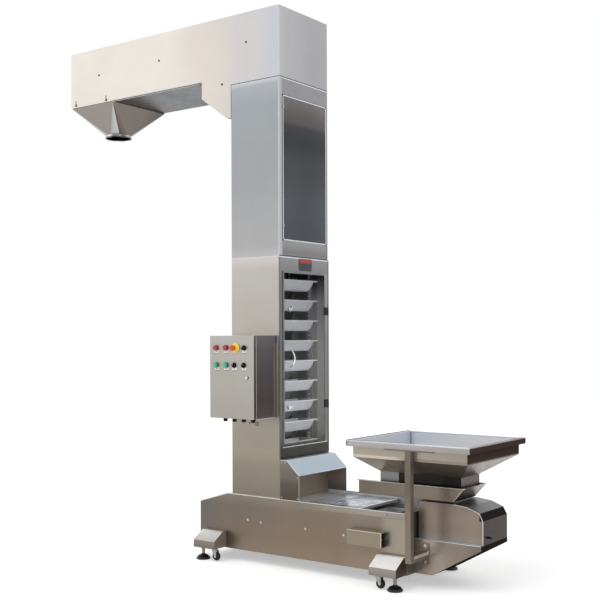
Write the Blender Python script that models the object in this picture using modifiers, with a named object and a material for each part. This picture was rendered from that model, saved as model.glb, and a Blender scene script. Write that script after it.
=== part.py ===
"""Pendulum (swing-bucket) conveyor with vibrating feeder, modelled in metres, +Z up.

Layout frame: origin on the floor under the column's centre, +X toward the feed hopper,
-Y toward the control cabinet. Everything hangs on one empty that moves the layout so that
the machine's box is centred on the world origin.
"""
import math

import bmesh
import bpy
from mathutils import Matrix

# Driving dimensions, metres
GAP = 0.0003                # clearance between pieces that seat on each other
SHEET = 0.002               # stainless sheet
SIDE_SHEET = 0.003          # base side plates
OVERCUT = 0.010             # how far a cutter reaches past the face it opens

# Base
FRAME_BOTTOM = 0.075        # underside of the base above the floor
BASE_TOP = 0.417
BASE_LEFT = -0.455
BASE_RIGHT = 1.065
TAIL_SLOPE_X = -0.23        # where the tail's chamfer meets the top
TAIL_SLOPE_Z = 0.35
HALF_WIDTH = 0.2535         # outside of the side plates
LIP_DROP = 0.015            # deck and lid lie this far below the sides' top edge
RAIL_LEFT = 0.334           # stiffening strip along the side's top edge
RAIL_RIGHT = 1.058
RAIL_HEIGHT = 0.036
RAIL_PROUD = 0.0015
LID_LEFT = 0.46
LID_RIGHT = 0.718

# Take-up box on each side of the base
TAKE_UP_LEFT = 0.700
TAKE_UP_RIGHT = 0.930
TAKE_UP_LOW = 0.218
TAKE_UP_HIGH = 0.302
TAKE_UP_REACH = 0.050
TAKE_UP_DEPTH = 0.110       # open pocket at its right end
TAKE_UP_WALL = 0.003
SCREW_RADIUS = 0.006
SCREW_NUT = 0.0105
SCREW_NUT_LENGTH = 0.012
SCREW_INSET = 0.012         # the screw's end inside the box's mouth

# Column
COLUMN_HALF = 0.188         # half size along X
COLUMN_SEAM = 1.883
COLUMN_TOP = 2.968          # where the column meets the head
MARGIN = 0.0375             # steel left beside the window
WINDOW_BOTTOM = 0.740
WINDOW_TOP = 1.784
PANEL_BOTTOM = 1.993        # opening behind the upper panel
PANEL_TOP = COLUMN_TOP - 0.118
PANEL_NEAR_MARGIN = 0.0455
PANEL_FAR_MARGIN = 0.0295
PANEL_LAP = 0.012
INLET_LIFT = 0.020          # opening behind the hood starts this far above the base
INLET_TOP = 0.620
GUIDE_WIDTH = 0.012         # wear strips that the chain runs on
STRIP_INSET = 0.005
STRIP_TOP = COLUMN_TOP - 0.268

# Head
HEAD_TOP = COLUMN_TOP + 0.432
HEAD_LEFT = -1.675
HEAD_BOTTOM = COLUMN_TOP + 0.052
GUSSET_BOTTOM = COLUMN_TOP - 0.202
GUSSET_FOOT_X = -0.226
GUSSET_TOP_X = -0.433
GUSSET_TOP_Z = COLUMN_TOP - 0.056
OUTLET_LEFT = -1.640        # discharge opening in the head's underside
OUTLET_RIGHT = -1.280
OUTLET_MARGIN = 0.0235
CHUTE_LEFT = -1.660
CHUTE_RIGHT = -1.252
CHUTE_FLANGE = 0.006        # upright edge round the chute's top
CHUTE_X = -1.462            # centre of the round collar
CORNER_STEPS = 9            # bends in each of the chute's rounded corners
COLLAR_RADIUS = 0.0915
COLLAR_TOP = HEAD_BOTTOM - 0.182
COLLAR_BOTTOM = HEAD_BOTTOM - 0.201
COLLAR_BEAD = 0.003
COLLAR_BEAD_HEIGHT = 0.006

# Hood
HOOD_TOP = 0.653
HOOD_TOP_X = 0.239
HOOD_NOSE_X = 0.329
HOOD_NOSE_Z = 0.5685

# Chain
BUCKET_PITCH = 0.1255
CHAIN_RUN = 0.080           # chain runs at plus and minus this X in the column
CHAIN_WALL_GAP = 0.0425     # from the chain's outer face to the side's outside
CHAIN_WIDTH = 0.012
CHAIN_DEPTH = 0.018
BASE_TURN = 0.090           # turning radius of the chain in the base
HEAD_TURN = 0.115
BASE_AXIS_Z = 0.255
TAIL_AXIS_X = 0.790
HEAD_AXIS_Z = COLUMN_TOP + 0.248
HEAD_AXIS_X = -1.387
SHAFT_RADIUS = 0.015
HUB_RADIUS = 0.028
HUB_LENGTH = 0.026
SPROCKET_RELIEF = 0.002     # the sprocket is this much thinner each side than its chain
TAIL_STEPS = 24             # straight stretches of the chain round the tail sprocket
BEND_STEPS = 8
CHAIN_OUTER = HALF_WIDTH - CHAIN_WALL_GAP
CHAIN_INNER = CHAIN_OUTER - CHAIN_WIDTH

# Buckets
BUCKET_COUNT = 9
RETURN_COUNT = 8            # fixed buckets on the return run
FIRST_RIM_Z = 1.749
RETURN_PHASE = 0.5          # return run's buckets hang half a pitch lower
BUCKET_LIP_HALF = 0.072     # half width over the rolled lips, along X
BUCKET_MOUTH_HALF = 0.066
BUCKET_FLOOR_HALF = 0.026
BUCKET_HEIGHT = 0.068
BUCKET_CORNER = 0.016
BUCKET_END_CLEAR = 0.038    # from the bucket's end wall to the chain
BUCKET_END_CORNER = 0.028   # radius where the ends curve into the floor
BUCKET_END_SINK = 0.002     # the end's curve is drawn this far below the floor
BUCKET_WALL = 0.0025
BUCKET_LIP_HEIGHT = 0.007
BUCKET_LIP_CLEAR = 0.0085   # from the lip's end to the chain
PIVOT_DROP = 0.014          # pivot below the rim
PIVOT_RADIUS = 0.005
PIVOT_BOSS = 0.012
PIVOT_BOSS_LENGTH = 0.008
TOP_RUN_BUCKET_X = 0.750    # bucket that shows in the open trough
BUCKET_END = CHAIN_INNER - BUCKET_END_CLEAR

# Window door
DOOR_THICK = 0.005
DOOR_LAP = 0.017
HINGE_EDGE = 0.010          # hinge axis in from the column's edge
HINGE_HEIGHT = 0.050
HINGE_RADIUS = 0.0065
HINGE_LEAF = 0.006
HINGE_DOOR_LEAF = 0.0445    # reach of the leaf on the door, from the axis
HINGE_KNUCKLE = 0.019       # length of the middle knuckle
DOOR_EDGE_CLEAR = 0.0015
HINGE_LOW_Z = 0.968
HINGE_HIGH_Z = 1.5565
HANDLE_Y = -0.155
HANDLE_LOW = 1.211
HANDLE_HIGH = 1.314
HANDLE_FOOT = 0.004         # short upright feet under the bow
HANDLE_RISE = 0.030         # height of the bow above its feet
HANDLE_RADIUS = 0.0045
LOCK_INSET_HIGH = 0.0855    # door locks in from the column's edge
LOCK_INSET_LOW = 0.0785
LOCK_HIGH_Z = 1.564
LOCK_LOW_Z = 0.966
DOOR_LOCK_RADIUS = 0.013
DOOR_LOCK_HEIGHT = 0.008
LOCK_WING_HALF = 0.017
LOCK_WING_THICK = 0.006
LOCK_WING_REACH = 0.020
LOCK_HIGH_TILT = 60         # wings' angle from level, degrees
LOCK_LOW_TILT = 20

# Control cabinet
CABINET_LEFT = -COLUMN_HALF + 0.010
CABINET_RIGHT = COLUMN_HALF - 0.020
CABINET_BOTTOM = 0.907
CABINET_TOP = CABINET_BOTTOM + 0.496
CABINET_DEPTH = 0.2195
CABINET_DOOR_DEPTH = 0.014
CABINET_SHEET = 0.0015
CABINET_REVEAL = 0.003
CABINET_RADIUS = 0.003
UPPER_ROW = CABINET_TOP - 0.073
LOWER_ROW = CABINET_TOP - 0.176
LAMPS = ((-0.127, UPPER_ROW), (-0.050, UPPER_ROW), (-0.126, LOWER_ROW), (-0.050, LOWER_ROW))
LAMP_RADIUS = 0.0145
LAMP_HEIGHT = 0.012
STOP_X = 0.022
STOP_RADIUS = 0.0185
STOP_STEM = 0.0075
STOP_REACH = 0.036
STOP_CAP = 0.014
STOP_COLLAR = 0.0145        # ring that guides the stop's stem
STOP_COLLAR_HEIGHT = 0.0145
STOP_BORE = 0.0085
STOP_TRAVEL = 0.006
SPEED_X = 0.091
SPEED_RADIUS = 0.0125
SPEED_HEIGHT = 0.016
SELECTOR_LEFT_X = 0.014
SELECTOR_RIGHT_X = 0.087
SELECTOR_RADIUS = 0.0135
SELECTOR_HEIGHT = 0.010
GRIP_HALF = 0.003
GRIP_RISE = 0.006
CABINET_LOCK_X = 0.111
CABINET_LOCK_Z = CABINET_TOP - 0.249
CABINET_LOCK_RADIUS = 0.011
CABINET_LOCK_HEIGHT = 0.006
GLAND_FIRST_X = -0.117
GLAND_STEP = 0.072
GLAND_COUNT = 4
GLAND_FRONT = 0.073         # glands' line behind the cabinet's front
GLAND_RADIUS = 0.0125
GLAND_LENGTH = 0.020

# Foot brackets, levelling feet and casters
BRACKET_REACH = 0.1165      # outer face from the base's side
BRACKET_SHOULDER = 0.0325
BRACKET_LOW = 0.080
BRACKET_STEP = 0.125
BRACKET_HIGH = 0.178
BRACKET_SPANS = ((-0.409, -0.240), (0.890, 1.065))
PAD_PLACES = (-0.372, 1.030)
PAD_OUT = 0.0665            # pad centre from the base's side
PAD_RADIUS = 0.044
PAD_EDGE = 0.006
PAD_HEIGHT = 0.024
STEM_RADIUS = 0.007
NUT_RADIUS = 0.012
NUT_HEIGHT = 0.008
CASTER_PLACES = (-0.275, 0.925)
CASTER_OUT = 0.0715
CASTER_PLATE_HALF = 0.024
CASTER_PLATE = 0.0025
WHEEL_RADIUS = 0.0275
WHEEL_HALF = 0.010
WHEEL_HUB = 0.011
WHEEL_CLEAR = 0.003         # wheels hang this far off the floor
CASTER_TRAIL = 0.016
FORK_WALL = 0.0025
FORK_BACK = 0.0125
FORK_TAIL = 0.008
RACE_RADIUS = 0.0165
RACE_HEIGHT = 0.008

# Feeder
FEEDER_HALF = 0.163
FEEDER_RIGHT = 1.471
FEEDER_KNEE_X = 1.171
FEEDER_KNEE_Z = 0.244
FEEDER_SHELF = 0.270
MOTOR_HALF = 0.150
MOTOR_LEFT = 1.082
MOTOR_RIGHT = 1.476
MOTOR_TOP = 0.4775
MOTOR_BEND_X = 1.301        # where the cover starts to slope
PAN_LEFT = 0.672
PAN_RIGHT = 1.360
PAN_FLOOR_RIGHT = 1.290
PAN_TOP = 0.565
PAN_BOTTOM = 0.486
PAN_HALF = 0.130
PAN_FLANGE = 0.024
MOUNT_LEFT = 1.10
MOUNT_RIGHT = 1.28
MOUNT_HALF = 0.10

# Hopper and its posts
RIM_LEFT = 0.730
RIM_RIGHT = 1.500
RIM_HALF = 0.350
RIM_TOP = 0.8126
RIM_LIP = 0.033
RIM_BAND = 0.030
WALL_BOTTOM = 0.720
THROAT_LEFT = 0.810
THROAT_RIGHT = 1.325
THROAT_HALF = 0.108
THROAT_TOP = 0.620
THROAT_BOTTOM = 0.545
POST_SIZE = 0.035
POST_LEFT = 1.117
POST_PROUD = 0.010          # post's outer face past the rim
POST_BOTTOM = 0.170
POST_CAP_HALF = 0.150
POST_CAP_THICK = 0.004
POST_FLANGE_LOW = 0.135
POST_FLANGE_HIGH = 0.250
POST_FLANGE_THICK = 0.006
POST_FLANGE_LAP = 0.004

# Places that follow from the sizes above
WINDOW_NEAR = -HALF_WIDTH + MARGIN
WINDOW_FAR = HALF_WIDTH - MARGIN
PANEL_NEAR = -HALF_WIDTH + PANEL_NEAR_MARGIN
PANEL_FAR = HALF_WIDTH - PANEL_FAR_MARGIN
CABINET_FRONT = -(HALF_WIDTH + CABINET_DEPTH)
CABINET_SPLIT = CABINET_FRONT + CABINET_DOOR_DEPTH
PAD_Y = HALF_WIDTH + PAD_OUT
CASTER_Y = HALF_WIDTH + CASTER_OUT
BRACKET_FACE = HALF_WIDTH + BRACKET_REACH
POST_FACE = RIM_HALF + POST_PROUD
INNER_HALF = HALF_WIDTH - SIDE_SHEET - GAP
DECK_TOP = BASE_TOP - LIP_DROP
DOOR_BACK = COLUMN_HALF + GAP
DOOR_FACE = DOOR_BACK + DOOR_THICK
HINGE_X = DOOR_BACK + HINGE_RADIUS
HINGE_Y = HALF_WIDTH - HINGE_EDGE
CENTRE_X = (HEAD_LEFT + RIM_RIGHT) / 2
CENTRE_Y = (CABINET_FRONT - STOP_REACH + BRACKET_FACE) / 2

# Colour, roughness and metallic value of each finish
FINISHES = {
    "stainless": ((0.55, 0.53, 0.50, 1), 0.35, 0.9),
    "stainless_dark": ((0.22, 0.22, 0.23, 1), 0.30, 0.9),
    "steel": ((0.45, 0.45, 0.45, 1), 0.40, 0.9),
    "bucket_plastic": ((0.72, 0.73, 0.75, 1), 0.50, 0.0),
    "clear_acrylic": ((0.80, 0.84, 0.84, 1), 0.08, 0.0),
    "black_plastic": ((0.03, 0.03, 0.03, 1), 0.45, 0.0),
    "chrome": ((0.80, 0.80, 0.80, 1), 0.12, 1.0),
    "red_plastic": ((0.65, 0.03, 0.02, 1), 0.35, 0.0),
    "zinc_steel": ((0.60, 0.58, 0.52, 1), 0.40, 0.9),
    "black_rubber": ((0.03, 0.03, 0.03, 1), 0.70, 0.0),
    "cabinet_steel": ((0.40, 0.37, 0.34, 1), 0.40, 0.9),
}


def clear_scene():
    for item in list(bpy.data.objects):
        bpy.data.objects.remove(item, do_unlink=True)


def collection(name):
    group = bpy.data.collections.new(name)
    bpy.context.scene.collection.children.link(group)
    return group


clear_scene()
PARTS = collection("pendulum_conveyor")
CUTTERS = collection("cutters")
FRAME = bpy.data.objects.new("conveyor_frame", None)
FRAME.location = (-CENTRE_X, -CENTRE_Y, 0)
PARTS.objects.link(FRAME)


def material(name, look):
    """A Principled material of the sub-part's own."""
    colour, roughness, metallic = FINISHES[look]
    made = bpy.data.materials.new(name + "_finish")
    made.use_nodes = True
    shader = made.node_tree.nodes["Principled BSDF"]
    shader.inputs["Base Color"].default_value = colour
    shader.inputs["Roughness"].default_value = roughness
    shader.inputs["Metallic"].default_value = metallic
    return made


def add(name, data, look, place=(0, 0, 0), turn=(0, 0, 0)):
    """Put a sub-part in the parts collection under the layout's empty."""
    item = bpy.data.objects.new(name, data)
    PARTS.objects.link(item)
    item.parent = FRAME
    item.location = place
    item.rotation_euler = turn
    data.materials.append(material(name, look))
    return item


def helper(mesh, place=(0, 0, 0), parent=FRAME):
    """A cutter or a piece to be joined on, which is not a part itself."""
    item = bpy.data.objects.new(mesh.name, mesh)
    CUTTERS.objects.link(item)
    item.parent = parent
    item.location = place
    item.hide_render = True
    item.display_type = 'WIRE'
    return item


def boolean(item, other, operation):
    step = item.modifiers.new(operation.lower(), 'BOOLEAN')
    step.operation = operation
    step.solver = 'EXACT'
    step.object = other


def cut(item, mesh, place=(0, 0, 0)):
    boolean(item, helper(mesh, place), 'DIFFERENCE')


def join(item, mesh, place=(0, 0, 0)):
    boolean(item, helper(mesh, place), 'UNION')


def thicken(item, thickness, offset):
    shell = item.modifiers.new("sheet", 'SOLIDIFY')
    shell.thickness = thickness
    shell.offset = offset
    shell.use_even_offset = True


def soften(item, width, segments):
    edge = item.modifiers.new("rounded_edges", 'BEVEL')
    edge.width = width
    edge.segments = segments
    edge.limit_method = 'ANGLE'
    edge.angle_limit = math.radians(60)


def smooth(mesh):
    mesh.shade_smooth()
    mesh.set_sharp_from_angle(angle=math.radians(35))


def mirrored(side, near, far):
    """A span along Y on one side of the machine, lowest first."""
    return sorted((side * near, side * far))


def box_mesh(name, low, high):
    """An axis-aligned box between two corners."""
    mesh = bpy.data.meshes.new(name)
    made = bmesh.new()
    bmesh.ops.create_cube(made, size=1.0)
    size = [high[i] - low[i] for i in range(3)]
    middle = [(high[i] + low[i]) / 2 for i in range(3)]
    bmesh.ops.scale(made, vec=size, verts=made.verts)
    bmesh.ops.translate(made, vec=middle, verts=made.verts)
    made.to_mesh(mesh)
    made.free()
    return mesh


AXIS_TURN = {"X": Matrix.Rotation(math.radians(90), 4, 'Y'),
             "Y": Matrix.Rotation(math.radians(90), 4, 'X'),
             "Z": Matrix.Identity(4)}


def rod_mesh(name, centre, radius, length, axis, sides=24):
    """A cylinder about its centre, along one axis."""
    mesh = bpy.data.meshes.new(name)
    made = bmesh.new()
    bmesh.ops.create_cone(made, cap_ends=True, segments=sides, radius1=radius,
                          radius2=radius, depth=length)
    bmesh.ops.transform(made, matrix=AXIS_TURN[axis], verts=made.verts)
    bmesh.ops.translate(made, vec=centre, verts=made.verts)
    made.to_mesh(mesh)
    made.free()
    smooth(mesh)
    return mesh


# How a flat outline's (u, v) and its thickness map to the world for each plane
PLANES = {
    "XZ": Matrix(((1, 0, 0, 0), (0, 0, -1, 0), (0, 1, 0, 0), (0, 0, 0, 1))),
    "YZ": Matrix(((0, 0, 1, 0), (1, 0, 0, 0), (0, 1, 0, 0), (0, 0, 0, 1))),
    "XY": Matrix.Identity(4),
}


def outline_mesh(name, plane, start, end, outline, holes=()):
    """A flat outline with holes, extruded between two places along its plane's normal."""
    curve = bpy.data.curves.new(name, 'CURVE')
    curve.dimensions = '2D'
    curve.fill_mode = 'BOTH'
    curve.extrude = (end - start) / 2
    for points in (outline, *holes):
        line = curve.splines.new('POLY')
        line.points.add(len(points) - 1)
        for point, (u, v) in zip(line.points, points):
            point.co = (u, v, 0, 1)
        line.use_cyclic_u = True
    mesh = evaluated_mesh(bpy.data.objects.new(name, curve))
    shift = [abs(share) * (start + end) / 2 for share in PLANES[plane].col[2].to_3d()]
    made = bmesh.new()
    made.from_mesh(mesh)
    bmesh.ops.remove_doubles(made, verts=made.verts, dist=0.00001)
    bmesh.ops.transform(made, matrix=PLANES[plane], verts=made.verts)
    bmesh.ops.translate(made, vec=shift, verts=made.verts)
    bmesh.ops.recalc_face_normals(made, faces=made.faces)
    made.to_mesh(mesh)
    made.free()
    mesh.name = name
    return mesh


def evaluated_mesh(item):
    """The item's finished mesh; the item itself is removed."""
    bpy.context.scene.collection.objects.link(item)
    bpy.context.view_layer.update()
    evaluated = item.evaluated_get(bpy.context.evaluated_depsgraph_get())
    mesh = bpy.data.meshes.new_from_object(evaluated)
    bpy.data.objects.remove(item)
    return mesh


def strip_mesh(name, line, half_width):
    """An open folded sheet: a line in XZ drawn out along Y."""
    mesh = bpy.data.meshes.new(name)
    made = bmesh.new()
    points = [made.verts.new((x, -half_width, z)) for x, z in line]
    edges = [made.edges.new(pair) for pair in zip(points, points[1:])]
    drawn = bmesh.ops.extrude_edge_only(made, edges=edges)
    moved = [v for v in drawn["geom"] if isinstance(v, bmesh.types.BMVert)]
    bmesh.ops.translate(made, vec=(0, 2 * half_width, 0), verts=moved)
    made.to_mesh(mesh)
    made.free()
    return mesh


def loft_mesh(name, rings):
    """An open skin through rings that all have the same number of points."""
    mesh = bpy.data.meshes.new(name)
    made = bmesh.new()
    loops = [[made.verts.new(point) for point in ring] for ring in rings]
    for lower, upper in zip(loops, loops[1:]):
        for i in range(len(lower)):
            j = (i + 1) % len(lower)
            made.faces.new((lower[i], lower[j], upper[j], upper[i]))
    bmesh.ops.remove_doubles(made, verts=made.verts, dist=0.00001)
    made.to_mesh(mesh)
    made.free()
    return mesh


def turned(name, profile, look, place, turn=(0, 0, 0), steps=16):
    """A turned piece; the profile runs from the top of its axis down its outer side."""
    mesh = bpy.data.meshes.new(name)
    made = bmesh.new()
    points = [made.verts.new((radius, 0, level)) for radius, level in profile]
    for pair in zip(points, points[1:]):
        made.edges.new(pair)
    made.to_mesh(mesh)
    made.free()
    item = add(name, mesh, look, place, turn)
    spin = item.modifiers.new("turned", 'SCREW')
    spin.axis = 'Z'
    spin.angle = 2 * math.pi
    spin.steps = steps
    spin.render_steps = steps
    spin.use_merge_vertices = True
    spin.merge_threshold = 0.00001
    spin.use_smooth_shade = True
    return item


def arc(centre, radius, start, end, steps):
    """Points along an arc, angles in degrees."""
    made = []
    for i in range(steps + 1):
        angle = math.radians(start + (end - start) * i / steps)
        made.append((centre[0] + radius * math.cos(angle), centre[1] + radius * math.sin(angle)))
    return made


def rectangle(left, right, low, high):
    return [(left, low), (right, low), (right, high), (left, high)]


# Base: side plates with their foot brackets, floor, deck and lid
def bracket_section(side):
    """Section of a foot bracket in YZ, on the given side of the machine."""
    seat = HALF_WIDTH - SIDE_SHEET / 2
    shoulder = HALF_WIDTH + BRACKET_SHOULDER
    points = [(seat, BRACKET_LOW), (BRACKET_FACE, BRACKET_LOW), (BRACKET_FACE, BRACKET_STEP),
              (shoulder, BRACKET_HIGH), (seat, BRACKET_HIGH)]
    return [(side * y, z) for y, z in points]


def base_side(name, side):
    outline = [(BASE_LEFT, FRAME_BOTTOM), (BASE_RIGHT, FRAME_BOTTOM), (BASE_RIGHT, BASE_TOP),
               (TAIL_SLOPE_X, BASE_TOP), (BASE_LEFT, TAIL_SLOPE_Z)]
    faces = mirrored(side, HALF_WIDTH - SIDE_SHEET, HALF_WIDTH)
    plate = add(name, outline_mesh(name, "XZ", *faces, outline), "stainless")
    root = HALF_WIDTH - SIDE_SHEET / 2
    for index, (left, right) in enumerate(BRACKET_SPANS):
        label = "%s_bracket_%d" % (name, index)
        join(plate, outline_mesh(label, "YZ", left, right, bracket_section(side)))
    for index, x in enumerate(CASTER_PLACES):
        low, high = mirrored(side, CASTER_Y - CASTER_PLATE_HALF, CASTER_Y + CASTER_PLATE_HALF)
        plate_low = (x - CASTER_PLATE_HALF, low, BRACKET_LOW - CASTER_PLATE)
        plate_high = (x + CASTER_PLATE_HALF, high, BRACKET_LOW + CASTER_PLATE)
        join(plate, box_mesh("%s_caster_plate_%d" % (name, index), plate_low, plate_high))
    reach = mirrored(side, root, HALF_WIDTH + RAIL_PROUD)
    join(plate, box_mesh(name + "_rail", (RAIL_LEFT, reach[0], BASE_TOP - RAIL_HEIGHT),
                         (RAIL_RIGHT, reach[1], BASE_TOP)))
    take_up_box(plate, name, side)


def take_up_box(plate, name, side):
    """Open-ended box over the take-up bearing, with its adjusting screw."""
    root = HALF_WIDTH - SIDE_SHEET / 2
    face = HALF_WIDTH + TAKE_UP_REACH
    reach = mirrored(side, root, face)
    join(plate, outline_mesh(name + "_take_up", "XZ", *reach,
                             rectangle(TAKE_UP_LEFT, TAKE_UP_RIGHT, TAKE_UP_LOW, TAKE_UP_HIGH)))
    wall = TAKE_UP_WALL
    inside = mirrored(side, HALF_WIDTH, face - wall)
    pocket = TAKE_UP_RIGHT - TAKE_UP_DEPTH
    cut(plate, outline_mesh(name + "_pocket", "XZ", *inside,
                            rectangle(pocket, TAKE_UP_RIGHT + OVERCUT, TAKE_UP_LOW + wall,
                                      TAKE_UP_HIGH - wall)))
    middle_y = side * (HALF_WIDTH + face) / 2
    middle_z = (TAKE_UP_LOW + TAKE_UP_HIGH) / 2
    end = TAKE_UP_RIGHT - SCREW_INSET
    start = pocket - OVERCUT
    join(plate, rod_mesh(name + "_screw", ((start + end) / 2, middle_y, middle_z),
                         SCREW_RADIUS, end - start, "X", 12))
    nut_x = end - SCREW_NUT_LENGTH
    join(plate, rod_mesh(name + "_screw_nut", (nut_x, middle_y, middle_z),
                         SCREW_NUT, SCREW_NUT_LENGTH, "X", 6))


def base_floor():
    inside = SHEET / 2
    left = BASE_LEFT + inside
    right = BASE_RIGHT - inside
    line = [(-COLUMN_HALF, BASE_TOP - inside), (TAIL_SLOPE_X, BASE_TOP - inside),
            (left, TAIL_SLOPE_Z), (left, FRAME_BOTTOM + inside),
            (right, FRAME_BOTTOM + inside), (right, BASE_TOP - inside)]
    floor = add("base_floor", strip_mesh("base_floor", line, INNER_HALF), "stainless")
    thicken(floor, SHEET, 0)


def base_plate(name, left, right):
    add(name, box_mesh(name, (left, -INNER_HALF, DECK_TOP - SHEET),
                       (right, INNER_HALF, DECK_TOP)), "stainless")


def hood_outline(inset, low, back):
    """Side view of the hood; the inset draws its inside."""
    return [(back, low), (HOOD_NOSE_X - inset, low), (HOOD_NOSE_X - inset, HOOD_NOSE_Z - inset / 2),
            (HOOD_TOP_X - inset / 2, HOOD_TOP - inset), (back, HOOD_TOP - inset)]


def inlet_hood():
    back = COLUMN_HALF + GAP
    low = BASE_TOP + GAP
    name = "inlet_hood"
    hood = add(name, outline_mesh(name, "XZ", -HALF_WIDTH, HALF_WIDTH,
                                  hood_outline(0, low, back)), "stainless")
    half = HALF_WIDTH - SHEET
    cut(hood, outline_mesh("hood_inside", "XZ", -half, half,
                           hood_outline(SHEET, low - OVERCUT, back - OVERCUT)))
    cut(hood, box_mesh("hood_mouth", (HOOD_NOSE_X - 2 * SHEET, -half, low - OVERCUT),
                       (HOOD_NOSE_X + OVERCUT, half, HOOD_NOSE_Z - SHEET)))


def tail_shaft():
    """Take-up shaft with a sprocket disc and hub for each chain."""
    name = "tail_shaft"
    centre = (TAIL_AXIS_X, 0, BASE_AXIS_Z)
    shaft = add(name, rod_mesh(name, centre, SHAFT_RADIUS, 2 * (INNER_HALF - GAP), "Y", 16),
                "steel")
    facet = math.cos(math.radians(90 / TAIL_STEPS))
    radius = (BASE_TURN - CHAIN_DEPTH / 2) * facet - GAP
    for side in (-1, 1):
        y = side * (CHAIN_INNER + CHAIN_WIDTH / 2)
        disc = rod_mesh("tail_sprocket_%d" % side, (TAIL_AXIS_X, y, BASE_AXIS_Z), radius,
                        CHAIN_WIDTH - 2 * SPROCKET_RELIEF, "Y", TAIL_STEPS)
        join(shaft, disc)
        join(shaft, rod_mesh("tail_hub_%d" % side, (TAIL_AXIS_X, y, BASE_AXIS_Z), HUB_RADIUS,
                             HUB_LENGTH, "Y", 12))


# Column
def column_shell(name, low, high):
    """Three folded walls, open toward +X."""
    half = HALF_WIDTH
    reach = COLUMN_HALF - SHEET - GAP
    inner = half - SHEET
    back = -COLUMN_HALF + SHEET
    outline = [(reach, -half), (reach, -inner), (back, -inner), (back, inner), (reach, inner),
               (reach, half), (-COLUMN_HALF, half), (-COLUMN_HALF, -half)]
    return add(name, outline_mesh(name, "XY", low, high, outline), "stainless")


def wear_strips(shell, low, high):
    """Strips on the side walls that the chain runs along."""
    out = CHAIN_RUN - CHAIN_DEPTH / 2 - GAP
    for side in (-1, 1):
        near, far = mirrored(side, CHAIN_INNER, HALF_WIDTH - SHEET / 2)
        for run in (-1, 1):
            left, right = mirrored(run, out - GUIDE_WIDTH, out)
            label = "%s_strip_%d_%d" % (shell.name, side, run)
            join(shell, box_mesh(label, (left, near, low), (right, far, high)))


def column():
    low = BASE_TOP + GAP
    lower = column_shell("column_lower_shell", low, COLUMN_SEAM - GAP)
    wear_strips(lower, low + STRIP_INSET, COLUMN_SEAM - GAP - STRIP_INSET)
    upper = column_shell("column_upper_shell", COLUMN_SEAM, COLUMN_TOP - GAP)
    inner = HALF_WIDTH - 2 * SHEET
    cut(upper, box_mesh("return_passage", (-COLUMN_HALF - OVERCUT, -inner, GUSSET_BOTTOM),
                        (-COLUMN_HALF + 2 * SHEET, inner, COLUMN_TOP + OVERCUT)))
    wear_strips(upper, COLUMN_SEAM + STRIP_INSET, STRIP_TOP)
    faces = (COLUMN_HALF - SHEET, COLUMN_HALF)
    window = rectangle(WINDOW_NEAR, WINDOW_FAR, WINDOW_BOTTOM, WINDOW_TOP)
    inlet = rectangle(WINDOW_NEAR, WINDOW_FAR, BASE_TOP + INLET_LIFT, INLET_TOP)
    name = "column_lower_frame"
    outline = rectangle(-HALF_WIDTH, HALF_WIDTH, low, COLUMN_SEAM - GAP)
    add(name, outline_mesh(name, "YZ", *faces, outline, (window, inlet)), "stainless")
    service = rectangle(PANEL_NEAR, PANEL_FAR, PANEL_BOTTOM, PANEL_TOP)
    name = "column_upper_frame"
    outline = rectangle(-HALF_WIDTH, HALF_WIDTH, COLUMN_SEAM, COLUMN_TOP - GAP)
    add(name, outline_mesh(name, "YZ", *faces, outline, (service,)), "stainless")
    name = "upper_panel"
    front = COLUMN_HALF + GAP
    add(name, box_mesh(name, (front, PANEL_NEAR - PANEL_LAP, PANEL_BOTTOM - PANEL_LAP),
                       (front + SHEET, PANEL_FAR + PANEL_LAP, PANEL_TOP + PANEL_LAP)),
        "stainless_dark")


# Head
def head():
    wall = -COLUMN_HALF - GAP
    outline = [(HEAD_LEFT, HEAD_BOTTOM), (GUSSET_TOP_X, HEAD_BOTTOM), (GUSSET_TOP_X, GUSSET_TOP_Z),
               (GUSSET_FOOT_X, GUSSET_BOTTOM), (wall, GUSSET_BOTTOM), (wall, COLUMN_TOP),
               (COLUMN_HALF, COLUMN_TOP), (COLUMN_HALF, HEAD_TOP), (HEAD_LEFT, HEAD_TOP)]
    for name, side in (("head_side_front", -1), ("head_side_rear", 1)):
        faces = mirrored(side, HALF_WIDTH - SHEET, HALF_WIDTH)
        add(name, outline_mesh(name, "XZ", *faces, outline), "stainless")
    half = HALF_WIDTH - SHEET - GAP
    inside = SHEET / 2
    line = [(HEAD_LEFT + inside, HEAD_BOTTOM + SHEET + GAP), (HEAD_LEFT + inside, HEAD_TOP - inside),
            (COLUMN_HALF - inside, HEAD_TOP - inside), (COLUMN_HALF - inside, COLUMN_TOP)]
    cover = add("head_cover", strip_mesh("head_cover", line, half), "stainless")
    thicken(cover, SHEET, 0)
    line = [(HEAD_LEFT, HEAD_BOTTOM + inside), (GUSSET_TOP_X - inside, HEAD_BOTTOM + inside),
            (GUSSET_TOP_X - inside, GUSSET_TOP_Z), (GUSSET_FOOT_X, GUSSET_BOTTOM + inside),
            (wall, GUSSET_BOTTOM + inside)]
    under = add("head_underside", strip_mesh("head_underside", line, half), "stainless")
    thicken(under, SHEET, 0)
    outlet = HALF_WIDTH - OUTLET_MARGIN
    cut(under, box_mesh("outlet", (OUTLET_LEFT, -outlet, HEAD_BOTTOM - OVERCUT),
                        (OUTLET_RIGHT, outlet, HEAD_BOTTOM + OVERCUT)))


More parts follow.
